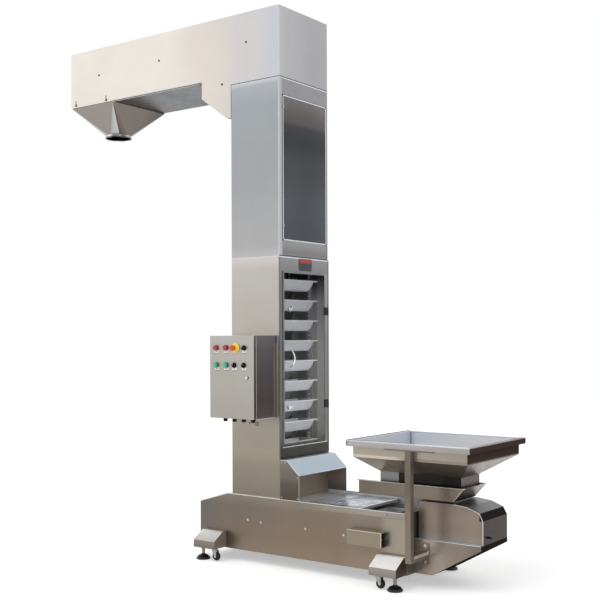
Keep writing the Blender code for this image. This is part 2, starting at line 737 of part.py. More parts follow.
def discharge_chute():
    """Rectangle to round: flat triangles, corners bent like cones, and a beaded collar."""
    top = HEAD_BOTTOM - GAP
    bead_top = COLLAR_BOTTOM + COLLAR_BEAD_HEIGHT
    levels = [(COLLAR_RADIUS + COLLAR_BEAD, COLLAR_BOTTOM), (COLLAR_RADIUS, bead_top),
              (COLLAR_RADIUS, COLLAR_TOP)]
    corners = [(CHUTE_RIGHT, HALF_WIDTH), (CHUTE_LEFT, HALF_WIDTH), (CHUTE_LEFT, -HALF_WIDTH),
               (CHUTE_RIGHT, -HALF_WIDTH)]
    rings = [[], [], [], [], []]
    for quarter, corner in enumerate(corners):
        for made, (radius, level) in zip(rings, levels):
            bend = arc((CHUTE_X, 0), radius, 90 * quarter, 90 * (quarter + 1), CORNER_STEPS)
            made += [(x, y, level) for x, y in bend]
        rings[3] += [(*corner, top - CHUTE_FLANGE)] * (CORNER_STEPS + 1)
        rings[4] += [(*corner, top)] * (CORNER_STEPS + 1)
    chute = add("discharge_chute", loft_mesh("discharge_chute", rings), "stainless")
    thicken(chute, SHEET, -1)


# Feeder, pan, hopper and posts
def feeder():
    left = BASE_RIGHT + GAP
    outline = [(left, FRAME_BOTTOM), (FEEDER_KNEE_X, FRAME_BOTTOM), (FEEDER_RIGHT, FEEDER_KNEE_Z),
               (FEEDER_RIGHT, FEEDER_SHELF), (left, FEEDER_SHELF)]
    name = "feeder_frame"
    add(name, outline_mesh(name, "XZ", -FEEDER_HALF, FEEDER_HALF, outline), "stainless")
    seat = FEEDER_SHELF + GAP
    drop = MOTOR_TOP - seat
    run = MOTOR_RIGHT - MOTOR_BEND_X
    outline = [(MOTOR_LEFT, seat), (MOTOR_RIGHT, seat), (MOTOR_RIGHT, seat + 0.63 * drop),
               (MOTOR_BEND_X + 0.87 * run, seat + 0.83 * drop),
               (MOTOR_BEND_X + 0.45 * run, seat + 0.96 * drop), (MOTOR_BEND_X, MOTOR_TOP),
               (MOTOR_LEFT, MOTOR_TOP)]
    name = "vibrator_housing"
    add(name, outline_mesh(name, "XZ", -MOTOR_HALF, MOTOR_HALF, outline), "stainless")


def pan_outline(inset, left, top):
    return [(left, PAN_BOTTOM + inset), (PAN_FLOOR_RIGHT - inset, PAN_BOTTOM + inset),
            (PAN_RIGHT - inset, top), (left, top)]


def feeder_pan():
    name = "feeder_pan"
    pan = add(name, outline_mesh(name, "XZ", -PAN_HALF, PAN_HALF,
                                 pan_outline(0, PAN_LEFT, PAN_TOP)), "stainless")
    half = PAN_HALF - SHEET
    for side in (-1, 1):
        low, high = mirrored(side, half + SHEET / 2, PAN_HALF + PAN_FLANGE)
        join(pan, box_mesh("pan_flange_%d" % side, (PAN_LEFT, low, PAN_TOP - SHEET),
                           (PAN_RIGHT, high, PAN_TOP)))
    cut(pan, outline_mesh("pan_inside", "XZ", -half, half,
                          pan_outline(SHEET, PAN_LEFT - OVERCUT, PAN_TOP + OVERCUT)))
    join(pan, box_mesh("pan_mount", (MOUNT_LEFT, -MOUNT_HALF, MOTOR_TOP + GAP),
                       (MOUNT_RIGHT, MOUNT_HALF, PAN_BOTTOM + SHEET / 2)))


def ring(left, right, half, level):
    return [(left, -half, level), (right, -half, level), (right, half, level),
            (left, half, level)]


def feed_hopper():
    """Throat, sloped walls, upright walls and the rim folded out and down."""
    wall_left, wall_right = RIM_LEFT + RIM_BAND, RIM_RIGHT - RIM_BAND
    wall_half = RIM_HALF - RIM_BAND
    rings = [ring(THROAT_LEFT, THROAT_RIGHT, THROAT_HALF, THROAT_BOTTOM),
             ring(THROAT_LEFT, THROAT_RIGHT, THROAT_HALF, THROAT_TOP),
             ring(wall_left, wall_right, wall_half, WALL_BOTTOM),
             ring(wall_left, wall_right, wall_half, RIM_TOP),
             ring(RIM_LEFT, RIM_RIGHT, RIM_HALF, RIM_TOP),
             ring(RIM_LEFT, RIM_RIGHT, RIM_HALF, RIM_TOP - RIM_LIP)]
    hopper = add("feed_hopper", loft_mesh("feed_hopper", rings), "stainless")
    thicken(hopper, SHEET, 1)


def hopper_post(name, side):
    """Square post from the feeder frame up to the hopper's rim."""
    right = POST_LEFT + POST_SIZE
    middle = POST_LEFT + POST_SIZE / 2
    cap_top = RIM_TOP - RIM_LIP - GAP
    wall = RIM_HALF - RIM_BAND + SHEET + GAP
    root = FEEDER_HALF + GAP
    tube = mirrored(side, POST_FACE - POST_SIZE, POST_FACE)
    arm = mirrored(side, root, POST_FACE)
    flange = mirrored(side, root, root + POST_FLANGE_THICK)
    cap = mirrored(side, wall, POST_FACE)
    post = add(name, box_mesh(name, (POST_LEFT, tube[0], POST_BOTTOM),
                              (right, tube[1], cap_top - POST_CAP_THICK / 2)), "stainless")
    join(post, box_mesh(name + "_arm", (POST_LEFT, arm[0], POST_BOTTOM),
                        (right, arm[1], POST_BOTTOM + POST_SIZE)))
    join(post, box_mesh(name + "_flange", (POST_LEFT - POST_FLANGE_LAP, flange[0], POST_FLANGE_LOW),
                        (right + POST_FLANGE_LAP, flange[1], POST_FLANGE_HIGH)))
    join(post, box_mesh(name + "_cap", (middle - POST_CAP_HALF, cap[0], cap_top - POST_CAP_THICK),
                        (middle + POST_CAP_HALF, cap[1], cap_top)))


# Chain and buckets
def chain_outline(offset):
    """The chain's Z-shaped path, moved outward from the loop by the offset."""
    tail = (TAIL_AXIS_X, BASE_AXIS_Z)
    rise = (CHAIN_RUN + BASE_TURN, BASE_AXIS_Z + 2 * BASE_TURN)
    crown = (CHAIN_RUN - HEAD_TURN, HEAD_AXIS_Z)
    far = (HEAD_AXIS_X, HEAD_AXIS_Z)
    drop = (-CHAIN_RUN - HEAD_TURN, HEAD_AXIS_Z - 2 * HEAD_TURN)
    foot = (-CHAIN_RUN + BASE_TURN, BASE_AXIS_Z)
    points = arc(foot, BASE_TURN + offset, 180, 270, BEND_STEPS)
    points += arc(tail, BASE_TURN + offset, -90, 90, TAIL_STEPS)
    points += arc(rise, BASE_TURN - offset, 270, 180, BEND_STEPS)
    points += arc(crown, HEAD_TURN + offset, 0, 90, BEND_STEPS)
    points += arc(far, HEAD_TURN + offset, 90, 270, 2 * BEND_STEPS)
    points += arc(drop, HEAD_TURN - offset, 90, 0, BEND_STEPS)
    return points


def bucket_section(inset, top):
    """Section of the tub in XZ about the pivot: sloped long sides and a rounded floor."""
    floor = PIVOT_DROP - BUCKET_HEIGHT + inset
    slope = math.degrees(math.atan2(BUCKET_HEIGHT, BUCKET_MOUTH_HALF - BUCKET_FLOOR_HALF))
    radius = BUCKET_CORNER - inset
    centre = (BUCKET_FLOOR_HALF - BUCKET_CORNER * math.tan(math.radians(slope / 2)), floor + radius)
    corner = arc(centre, radius, -90, slope - 90, 2)
    mouth = BUCKET_MOUTH_HALF - inset
    right = corner + [(mouth, PIVOT_DROP - BUCKET_LIP_HEIGHT / 2)]
    if top > PIVOT_DROP:
        right.append((mouth, top))
    return right + [(-x, z) for x, z in reversed(right)]


def bucket_ends(inset, top):
    """Side view of the tub in YZ: upright ends that curve into the floor."""
    half = BUCKET_END - inset
    radius = BUCKET_END_CORNER - inset
    level = PIVOT_DROP - BUCKET_HEIGHT + inset + radius - BUCKET_END_SINK
    right = arc((half - radius, level), radius, -90, 0, 3) + [(half, top)]
    return right + [(-y, z) for y, z in reversed(right)]


def tub_mesh(name, inset, top):
    """What the tub's two outlines have in common."""
    reach = BUCKET_END + OVERCUT
    item = bpy.data.objects.new(name, outline_mesh(name, "XZ", -reach, reach,
                                                   bucket_section(inset, top)))
    reach = BUCKET_MOUTH_HALF + OVERCUT
    ends = helper(outline_mesh(name + "_ends", "YZ", -reach, reach,
                               bucket_ends(inset, top + OVERCUT)), parent=None)
    boolean(item, ends, 'INTERSECT')
    mesh = evaluated_mesh(item)
    bpy.data.objects.remove(ends)
    return mesh


def bucket_shapes(name, pin_reach):
    """The bucket's solid tub, and the shapes joined to it or cut from it, about its pivot."""
    rim = PIVOT_DROP
    lip_end = CHAIN_INNER - BUCKET_LIP_CLEAR
    lip = box_mesh(name + "_lip", (-BUCKET_LIP_HALF, -lip_end, rim - BUCKET_LIP_HEIGHT),
                   (BUCKET_LIP_HALF, lip_end, rim))
    pin = rod_mesh(name + "_pin", (0, 0, 0), PIVOT_RADIUS, 2 * pin_reach, "Y", 10)
    inside = tub_mesh(name + "_inside", BUCKET_WALL, rim + OVERCUT)
    return tub_mesh(name, 0, rim - BUCKET_LIP_HEIGHT / 2), lip, pin, inside


def swing_bucket(index):
    name = "swing_bucket_%d" % index
    place = (CHAIN_RUN, 0, FIRST_RIM_Z - PIVOT_DROP - BUCKET_PITCH * (index - 1))
    tub, lip, pin, inside = bucket_shapes(name, CHAIN_INNER - GAP)
    boss_half = BUCKET_END + PIVOT_BOSS_LENGTH
    boss = rod_mesh(name + "_boss", (0, 0, 0), PIVOT_BOSS, 2 * boss_half, "Y", 10)
    bucket = add(name, tub, "bucket_plastic", place)
    for mesh in (lip, boss, pin):
        join(bucket, mesh, place)
    cut(bucket, inside, place)


def fixed_bucket_mesh():
    """One bucket as a finished mesh, whose pins reach into the chains that carry it."""
    name = "fixed_bucket"
    tub, lip, pin, inside = bucket_shapes(name, CHAIN_INNER + CHAIN_WIDTH / 2)
    item = bpy.data.objects.new(name, tub)
    helpers = []
    for mesh in (lip, pin):
        helpers.append(helper(mesh, parent=None))
        boolean(item, helpers[-1], 'UNION')
    helpers.append(helper(inside, parent=None))
    boolean(item, helpers[-1], 'DIFFERENCE')
    mesh = evaluated_mesh(item)
    for used in helpers:
        bpy.data.objects.remove(used)
    return mesh


def chain_loop():
    """Both chains as one fixed loop, tied together by the buckets that they carry."""
    name = "bucket_chain"
    outline = chain_outline(CHAIN_DEPTH / 2)
    inside = chain_outline(-CHAIN_DEPTH / 2)
    chain = add(name, outline_mesh(name, "XZ", -CHAIN_OUTER, -CHAIN_INNER, outline, (inside,)),
                "steel")
    join(chain, outline_mesh("rear_chain", "XZ", CHAIN_INNER, CHAIN_OUTER, outline, (inside,)))
    bucket = fixed_bucket_mesh()
    places = [(-CHAIN_RUN, FIRST_RIM_Z - PIVOT_DROP - BUCKET_PITCH * (index + RETURN_PHASE))
              for index in range(RETURN_COUNT)]
    places.append((TOP_RUN_BUCKET_X, BASE_AXIS_Z + BASE_TURN))
    places.append((TAIL_AXIS_X + BASE_TURN, BASE_AXIS_Z))
    for x, z in places:
        join(chain, bucket, (x, 0, z))


# Window door with its hinges, handle and locks
def window_door():
    name = "window_door"
    low = (DOOR_BACK - HINGE_X, WINDOW_NEAR - DOOR_LAP - HINGE_Y, WINDOW_BOTTOM - DOOR_LAP)
    edge = -HINGE_RADIUS - DOOR_EDGE_CLEAR
    high = (DOOR_FACE - HINGE_X, edge, WINDOW_TOP + DOOR_LAP)
    add(name, box_mesh(name, low, high), "clear_acrylic", (HINGE_X, HINGE_Y, 0))
    door_handle()
    for name, z in (("lower", HINGE_LOW_Z), ("upper", HINGE_HIGH_Z)):
        door_hinge(name, z)
    door_lock("door_lock_upper", -HALF_WIDTH + LOCK_INSET_HIGH, LOCK_HIGH_Z, LOCK_HIGH_TILT)
    door_lock("door_lock_lower", -HALF_WIDTH + LOCK_INSET_LOW, LOCK_LOW_Z, LOCK_LOW_TILT)


def door_handle():
    name = "door_handle"
    curve = bpy.data.curves.new(name, 'CURVE')
    curve.dimensions = '3D'
    curve.bevel_depth = HANDLE_RADIUS
    curve.bevel_resolution = 3
    curve.use_fill_caps = True
    foot = DOOR_FACE + GAP
    half = (HANDLE_HIGH - HANDLE_LOW) / 2
    radius = (half ** 2 + HANDLE_RISE ** 2) / (2 * HANDLE_RISE)
    swing = math.degrees(math.asin(half / radius))
    centre = (foot + HANDLE_FOOT + HANDLE_RISE - radius, HANDLE_LOW + half)
    path = [(foot, HANDLE_LOW)] + arc(centre, radius, -swing, swing, 10) + [(foot, HANDLE_HIGH)]
    line = curve.splines.new('POLY')
    line.points.add(len(path) - 1)
    for point, (x, z) in zip(line.points, path):
        point.co = (x - HINGE_X, HANDLE_Y - HINGE_Y, z, 1)
    add(name, curve, "chrome", (HINGE_X, HINGE_Y, 0))


def door_hinge(label, z):
    """Fixed leaf with two knuckles on the column, and the door's leaf with the middle one."""
    name = "hinge_post_" + label
    half = HINGE_HEIGHT / 2
    middle = HINGE_KNUCKLE / 2
    fixed = add(name, rod_mesh(name, (HINGE_X, HINGE_Y, z), HINGE_RADIUS, HINGE_HEIGHT, "Z"),
                "black_plastic")
    join(fixed, box_mesh(name + "_leaf", (DOOR_BACK, HINGE_Y, z - half),
                         (HINGE_X, HALF_WIDTH, z + half)))
    reach = HINGE_RADIUS + DOOR_EDGE_CLEAR
    cut(fixed, box_mesh(name + "_slot", (HINGE_X - reach, HINGE_Y - reach, z - middle - GAP),
                        (HINGE_X + reach, HINGE_Y + reach - GAP, z + middle + GAP)))
    name = "hinge_leaf_" + label
    place = (HINGE_X, HINGE_Y, z)
    leaf = add(name, rod_mesh(name, (0, 0, 0), HINGE_RADIUS, HINGE_KNUCKLE, "Z"),
               "black_plastic", place)
    face = DOOR_FACE + GAP - HINGE_X
    join(leaf, box_mesh(name + "_plate", (face, -HINGE_DOOR_LEAF, -half),
                        (face + HINGE_LEAF, -reach, half)), place)
    join(leaf, box_mesh(name + "_neck", (face, -reach - HINGE_LEAF, -middle),
                        (face + HINGE_LEAF, 0, middle)), place)


def door_lock(name, y, z, tilt):
    """Round lock with a straight wing across it, which slopes by the tilt."""
    place = (DOOR_FACE, y, z)
    lock = add(name, rod_mesh(name, (GAP + DOOR_LOCK_HEIGHT / 2, 0, 0), DOOR_LOCK_RADIUS,
                              DOOR_LOCK_HEIGHT, "X"), "chrome", place)
    along, across = math.cos(math.radians(tilt)), math.sin(math.radians(tilt))
    outline = []
    for u, v in rectangle(-LOCK_WING_HALF, LOCK_WING_HALF, -LOCK_WING_THICK / 2,
                          LOCK_WING_THICK / 2):
        outline.append((u * along - v * across, u * across + v * along))
    join(lock, outline_mesh(name + "_wing", "YZ", DOOR_LOCK_HEIGHT / 2, LOCK_WING_REACH, outline),
         place)


# Control cabinet
def cabinet():
    left, right = CABINET_LEFT, CABINET_RIGHT
    low, high = CABINET_BOTTOM, CABINET_TOP
    back = -HALF_WIDTH - GAP
    thin = CABINET_SHEET
    name = "cabinet_box"
    case = add(name, box_mesh(name, (left, CABINET_SPLIT + GAP, low), (right, back, high)),
               "cabinet_steel")
    cut(case, box_mesh("cabinet_inside", (left + thin, CABINET_SPLIT - OVERCUT, low + thin),
                       (right - thin, back - thin, high - thin)))
    for index in range(GLAND_COUNT):
        x = GLAND_FIRST_X + GLAND_STEP * index
        centre = (x, CABINET_FRONT + GLAND_FRONT, low - GLAND_LENGTH / 2 + thin / 2)
        join(case, rod_mesh("gland_%d" % index, centre, GLAND_RADIUS, GLAND_LENGTH + thin, "Z", 12))
    cabinet_door(left, right - CABINET_REVEAL, low, high)


def cabinet_door(left, right, low, high):
    name = "cabinet_door"
    thin = CABINET_SHEET
    shift_x, shift_y = CABINET_LEFT, CABINET_SPLIT
    door = add(name, box_mesh(name, (left - shift_x, CABINET_FRONT - shift_y, low),
                              (right - shift_x, 0, high)), "cabinet_steel", (shift_x, shift_y, 0))
    soften(door, CABINET_RADIUS, 2)
    cut(door, box_mesh("cabinet_door_inside", (left + thin, CABINET_FRONT + thin, low + thin),
                       (right - thin, CABINET_SPLIT + OVERCUT, high - thin)))
    for index, (x, z) in enumerate(LAMPS):
        centre = (x, CABINET_FRONT - LAMP_HEIGHT / 2 + thin / 2, z)
        join(door, rod_mesh("lamp_%d" % index, centre, LAMP_RADIUS, LAMP_HEIGHT + thin, "Y", 16))
    collar = STOP_COLLAR_HEIGHT + thin / 2
    join(door, rod_mesh("stop_collar", (STOP_X, CABINET_FRONT - collar / 2 + thin / 2, UPPER_ROW),
                        STOP_COLLAR, collar, "Y"))
    bore = STOP_COLLAR_HEIGHT + OVERCUT
    cut(door, rod_mesh("stop_bore", (STOP_X, CABINET_FRONT - bore / 2, UPPER_ROW), STOP_BORE,
                       bore, "Y"))
    centre = (CABINET_LOCK_X, CABINET_FRONT - CABINET_LOCK_HEIGHT / 2 + thin / 2, CABINET_LOCK_Z)
    join(door, rod_mesh("cabinet_lock", centre, CABINET_LOCK_RADIUS, CABINET_LOCK_HEIGHT + thin,
                        "Y"))


FACE_FRONT = (math.radians(90), 0, 0)


def controls():
    """Mushroom stop, speed knob and two selector switches, turned about the door's normal."""
    face = CABINET_FRONT - GAP
    reach = STOP_REACH - GAP
    stem = reach - STOP_CAP
    foot = STOP_TRAVEL + GAP
    profile = [(0, reach), (STOP_RADIUS * 0.45, reach - STOP_CAP * 0.04),
               (STOP_RADIUS * 0.8, reach - STOP_CAP * 0.2), (STOP_RADIUS, reach - STOP_CAP * 0.5),
               (STOP_RADIUS, stem + STOP_CAP * 0.15), (STOP_RADIUS * 0.9, stem),
               (STOP_STEM, stem), (STOP_STEM, foot), (0, foot)]
    turned("emergency_stop", profile, "red_plastic", (STOP_X, face, UPPER_ROW), FACE_FRONT)
    switch("speed_knob", SPEED_X, UPPER_ROW, SPEED_RADIUS, SPEED_HEIGHT)
    switch("selector_left", SELECTOR_LEFT_X, LOWER_ROW, SELECTOR_RADIUS, SELECTOR_HEIGHT)
    switch("selector_right", SELECTOR_RIGHT_X, LOWER_ROW, SELECTOR_RADIUS, SELECTOR_HEIGHT)


def switch(name, x, z, radius, height):
    """A round base with a straight grip across it."""
    place = (x, CABINET_FRONT - GAP, z)
    knob = add(name, rod_mesh(name, (0, -height / 2, 0), radius, height, "Y"),
               "black_plastic", place)
    join(knob, box_mesh(name + "_grip", (-GRIP_HALF, -height - GRIP_RISE, -radius * 0.9),
                        (GRIP_HALF, -height / 2, radius * 0.9)), place)


# Levelling feet and casters
def levelling_foot(name, x, side):
    """Domed pad, lock nut and stem in one turned profile."""
    top = BRACKET_LOW - GAP
    dome = [(STEM_RADIUS + (PAD_RADIUS - STEM_RADIUS) * math.sin(math.radians(angle)),
             PAD_EDGE + (PAD_HEIGHT - PAD_EDGE) * math.cos(math.radians(angle)))
            for angle in (0, 25, 50, 70, 90)]
    profile = [(0, top), (NUT_RADIUS, top), (NUT_RADIUS, top - NUT_HEIGHT),
               (STEM_RADIUS, top - NUT_HEIGHT)] + dome
    profile += [(PAD_RADIUS, PAD_EDGE / 2), (PAD_RADIUS - PAD_EDGE / 2, 0), (0, 0)]
    turned(name, profile, "black_rubber", (x, side * PAD_Y, 0))


def caster(name, x, side):
    """Swivel fork whose origin lies on the swivel axis, and its wheel."""
    axle_z = WHEEL_CLEAR + WHEEL_RADIUS
    half, hub = WHEEL_HALF, WHEEL_HUB
    hub_radius = WHEEL_RADIUS * 0.5
    shoulder = WHEEL_RADIUS * 0.88
    tread = half * 0.45
    profile = [(0, hub), (hub_radius, hub), (shoulder, half), (WHEEL_RADIUS, tread),
               (WHEEL_RADIUS, -tread), (shoulder, -half), (hub_radius, -hub), (0, -hub)]
    turned(name + "_wheel", profile, "black_rubber",
           (x + CASTER_TRAIL, side * CASTER_Y, axle_z), FACE_FRONT)
    place = (x, side * CASTER_Y, 0)
    fork = name + "_fork"
    top = BRACKET_LOW - CASTER_PLATE - GAP
    crown = top - RACE_HEIGHT
    inner = hub + GAP
    outer = inner + FORK_WALL
    right = CASTER_TRAIL + FORK_TAIL
    body = add(fork, box_mesh(fork, (-FORK_BACK, -outer, crown - FORK_WALL),
                              (right, outer, crown)), "zinc_steel", place)
    cheek_outline = arc((CASTER_TRAIL, axle_z), FORK_TAIL, -180, 0, 6)
    cheek_outline += [(right, crown - FORK_WALL / 2), (-FORK_BACK, crown - FORK_WALL / 2)]
    for cheek in (-1, 1):
        faces = mirrored(cheek, inner, outer)
        join(body, outline_mesh("%s_cheek_%d" % (fork, cheek), "XZ", *faces, cheek_outline), place)
    low = crown - FORK_WALL / 2
    join(body, rod_mesh(fork + "_race", (0, 0, (low + top) / 2), RACE_RADIUS, top - low, "Z"),
         place)


base_side("base_side_front", -1)
base_side("base_side_rear", 1)
base_floor()
base_plate("base_deck", COLUMN_HALF - SHEET, LID_LEFT - GAP)
base_plate("trough_lid", LID_LEFT, LID_RIGHT)
inlet_hood()
tail_shaft()
column()
head()
discharge_chute()
feeder()
feeder_pan()
feed_hopper()
hopper_post("hopper_post_front", -1)
hopper_post("hopper_post_rear", 1)
chain_loop()
for number in range(1, BUCKET_COUNT + 1):
    swing_bucket(number)
window_door()
cabinet()
controls()
for end, pad_x, caster_x in (("left", PAD_PLACES[0], CASTER_PLACES[0]),
                             ("right", PAD_PLACES[1], CASTER_PLACES[1])):
    for flank, direction in (("front", -1), ("rear", 1)):
        levelling_foot("levelling_foot_%s_%s" % (end, flank), pad_x, direction)
        caster("caster_%s_%s" % (end, flank), caster_x, direction)
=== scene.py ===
"""Looks of the pendulum conveyor: finishes with painted shade, reflections and highlights, painted
highlight and shadow lines, small fasteners, chain links, controls and studio.

Places are written in metres from the floor under the column's centre, as at(x, y, z), with
+X toward the feed hopper and -Y toward the control cabinet.
"""
import math

import bmesh
import bpy
from mathutils import Matrix, Vector


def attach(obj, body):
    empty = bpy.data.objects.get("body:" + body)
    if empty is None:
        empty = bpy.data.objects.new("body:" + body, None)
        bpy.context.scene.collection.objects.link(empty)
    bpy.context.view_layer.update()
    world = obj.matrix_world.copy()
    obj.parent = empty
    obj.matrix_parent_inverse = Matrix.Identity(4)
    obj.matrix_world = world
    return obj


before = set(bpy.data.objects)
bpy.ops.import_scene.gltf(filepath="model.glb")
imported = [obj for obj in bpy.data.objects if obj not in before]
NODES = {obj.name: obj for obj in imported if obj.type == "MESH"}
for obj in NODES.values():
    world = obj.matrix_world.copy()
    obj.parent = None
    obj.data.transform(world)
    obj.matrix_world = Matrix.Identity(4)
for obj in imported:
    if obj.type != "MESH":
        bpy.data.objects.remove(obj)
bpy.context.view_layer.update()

# Main sizes of the machine
COLUMN_PLACE = (0.0875, 0.0695)     # column's centre in the frame's own axes
HALF_WIDTH = 0.2535
FRONT = -HALF_WIDTH
COLUMN_FACE = 0.188
CABINET_FACE = -0.473
CHAIN_RUN = 0.08
CHAIN_INNER = 0.199
BUCKET_PITCH = 0.1255

# Studio
WORLD_LEVEL = 0.6
FLOOR_HALF = 14
FLOOR_HEIGHT = -0.0005
FLOOR_LEVEL = 0.88
FLOOR_LIFT = 0.42
KEY_LEVEL = 0.95
FILL_LEVEL = 0.35
SUN_SPREAD = 50
CAMERA_PLACE = (4.0035, -5.0352, 1.4033)
CAMERA_TURN = (90.054, 0.195, 36.398)       # in degrees
CAMERA_LENS = 60.92
CAMERA_SHIFT = 0.0573


def at(x, y, z):
    """A place in the frame's axes from one measured at the column's foot."""
    return Vector((x + COLUMN_PLACE[0], y + COLUMN_PLACE[1], z))


def tone(*screen):
    """A screen colour as a linear one, from one grey or red, green and blue, 0 to 255."""
    made = []
    for value in (screen * 3)[:3]:
        value /= 255
        made.append(value / 12.92 if value <= 0.04045 else ((value + 0.055) / 1.055) ** 2.4)
    return (*made, 1.0)


# Materials
AXES = {"X": 0, "Y": 1, "Z": 2}


class Nodes:
    """Makes and joins the nodes of one tree."""

    def __init__(self, tree):
        self.tree = tree

    def feed(self, socket, value):
        if isinstance(value, bpy.types.NodeSocket):
            self.tree.links.new(value, socket)
        else:
            socket.default_value = value

    def add(self, kind, feeds, **settings):
        """A node with its settings made and its sockets fed."""
        node = self.tree.nodes.new("ShaderNode" + kind)
        for key, value in settings.items():
            setattr(node, key, value)
        for socket, value in feeds.items():
            self.feed(node.inputs[socket], value)
        return node

    def maths(self, operation, first, second=0.0):
        return self.add("Math", {0: first, 1: second}, operation=operation).outputs[0]

    def fit(self, value, low, high, to_low=0.0, to_high=1.0):
        return self.add("MapRange", {"Value": value, "From Min": low, "From Max": high,
                                     "To Min": to_low, "To Max": to_high}).outputs[0]

    def seen_directly(self):
        """1 for what the camera, a mirror or glass looks at, 0 for light that falls on the part."""
        path = self.add("LightPath", {})
        seen = path.outputs["Is Camera Ray"]
        for ray in ("Is Glossy Ray", "Is Transmission Ray"):
            seen = self.maths('MAXIMUM', seen, path.outputs[ray])
        return seen


class Finish(Nodes):
    """A procedural material, built up node by node."""

    def __init__(self, name, roughness=0.4, metallic=0.0):
        self.material = bpy.data.materials.new(name)
        self.material.use_nodes = True
        super().__init__(self.material.node_tree)
        self.shader = self.tree.nodes["Principled BSDF"]
        self.set("Roughness", roughness)
        self.set("Metallic", metallic)
        self.place = self.add("TexCoord", {})

    def set(self, socket, value):
        self.feed(self.shader.inputs[socket], value)

    def part(self, vector, axis):
        return self.add("SeparateXYZ", {0: vector}).outputs[AXES[axis]]

    def position(self, axis):
        """Distance along an axis from the column's foot."""
        shift = (*COLUMN_PLACE, 0)[AXES[axis]]
        return self.maths('SUBTRACT', self.part(self.place.outputs["Object"], axis), shift)

    def normal(self, axis):
        return self.part(self.place.outputs["Normal"], axis)

    def facing(self, axis, sign=1):
        """1 on faces that look along the axis, 0 on the others."""
        return self.fit(self.maths('MULTIPLY', self.normal(axis), sign), 0.35, 0.75)

    def noise(self, scale, detail, stretch=(1, 1, 1), roughness=0.5):
        move = self.add("Mapping", {"Vector": self.place.outputs["Object"], "Scale": stretch})
        return self.add("TexNoise", {"Vector": move.outputs[0], "Scale": scale, "Detail": detail,
                                     "Roughness": roughness}).outputs["Fac"]

    def mix(self, factor, first, second, blend='MIX'):
        """Two looks blended."""
        feeds = {"Factor": factor, "A": self.paint(first), "B": self.paint(second)}
        return self.add("Mix", feeds, data_type='RGBA', blend_type=blend).outputs["Result"]

    def ramp(self, value, stops):
        """Colours blended by a value; each stop is a value and its grey or its colour."""
        low, high = stops[0][0], stops[-1][0]
        node = self.add("ValToRGB", {0: self.fit(value, low, high)})
        ramp = node.color_ramp
        ramp.interpolation = 'EASE'
        while len(ramp.elements) < len(stops):
            ramp.elements.new(0.5)
        for element, (place, *colour) in zip(ramp.elements, stops):
            element.position = (place - low) / (high - low)
            element.color = tone(*colour)
        return node.outputs[0]

    def paint(self, look):
        """What a socket takes for a look: a grey, a colour, an axis with its stops, a socket,
        or a pair of such looks to be multiplied."""
        if isinstance(look, bpy.types.NodeSocket):
            return look
        if isinstance(look, int):
            return tone(look)
        if isinstance(look[0], int):
            return tone(*look)
        if isinstance(look[0], str):
            return self.ramp(self.position(look[0]), look[1])
        return self.mix(1.0, *look, 'MULTIPLY')

    def within(self, low, high):
        """1 inside a box, whose sides are left out where they are None."""
        made = 1.0
        for sides, compare in ((low, 'GREATER_THAN'), (high, 'LESS_THAN')):
            for axis, side in zip("XYZ", sides):
                if side is not None:
                    here = self.maths(compare, self.position(axis), side)
                    made = self.maths('MULTIPLY', made, here)
        return made

    def vary(self, colour, factor, low, high):
        """The colour made darker and lighter by a 0 to 1 factor."""
        level = self.fit(factor, 0.3, 0.7, low, high)
        return self.mix(1.0, colour, self.grey(level), 'MULTIPLY')

    def grey(self, value):
        return self.add("CombineColor", {0: value, 1: value, 2: value}).outputs[0]

    def bump(self, height, strength, distance):
        self.set("Normal", self.add("Bump", {"Height": height, "Strength": strength,
                                             "Distance": distance}).outputs[0])


GRAIN = {"X": (0.012, 1, 1), "Y": (1, 0.012, 1), "Z": (1, 1, 0.012)}
SHEET = 0.82                # how metallic bare sheet is, and where satin dulls it
SATIN = 0.15


def brushed(made, colour, grain, rough, worn):
    """Brushed sheet: fine lines along the grain, soft clouding and a few faint streaks."""
    lines = made.noise(2200, 2.0, GRAIN[grain], 0.6)
    streaks = made.noise(240, 3.0, GRAIN[grain], 0.6)
    clouds = made.noise(2.6, 3.0, (1, 1, 1), 0.55)
    smudges = made.noise(22, 4.0, (1, 1, 1), 0.65)
    colour = made.vary(colour, lines, 0.99, 1.01)
    colour = made.vary(colour, streaks, 1 - 0.01 * worn, 1 + 0.01 * worn)
    colour = made.vary(colour, clouds, 1 - 0.03 * worn, 1 + 0.03 * worn)
    made.set("Base Color", colour)
    level = made.maths('ADD', made.fit(lines, 0.3, 0.7, rough - 0.03, rough + 0.03),
                       made.fit(smudges, 0.35, 0.7, -0.02, 0.06))
    made.set("Roughness", level)
    made.bump(lines, 0.03, 0.0002)


def dress(material, *names):
    """Give nodes their finish."""
    for name in names:
        NODES[name].data.materials.clear()
        NODES[name].data.materials.append(material)


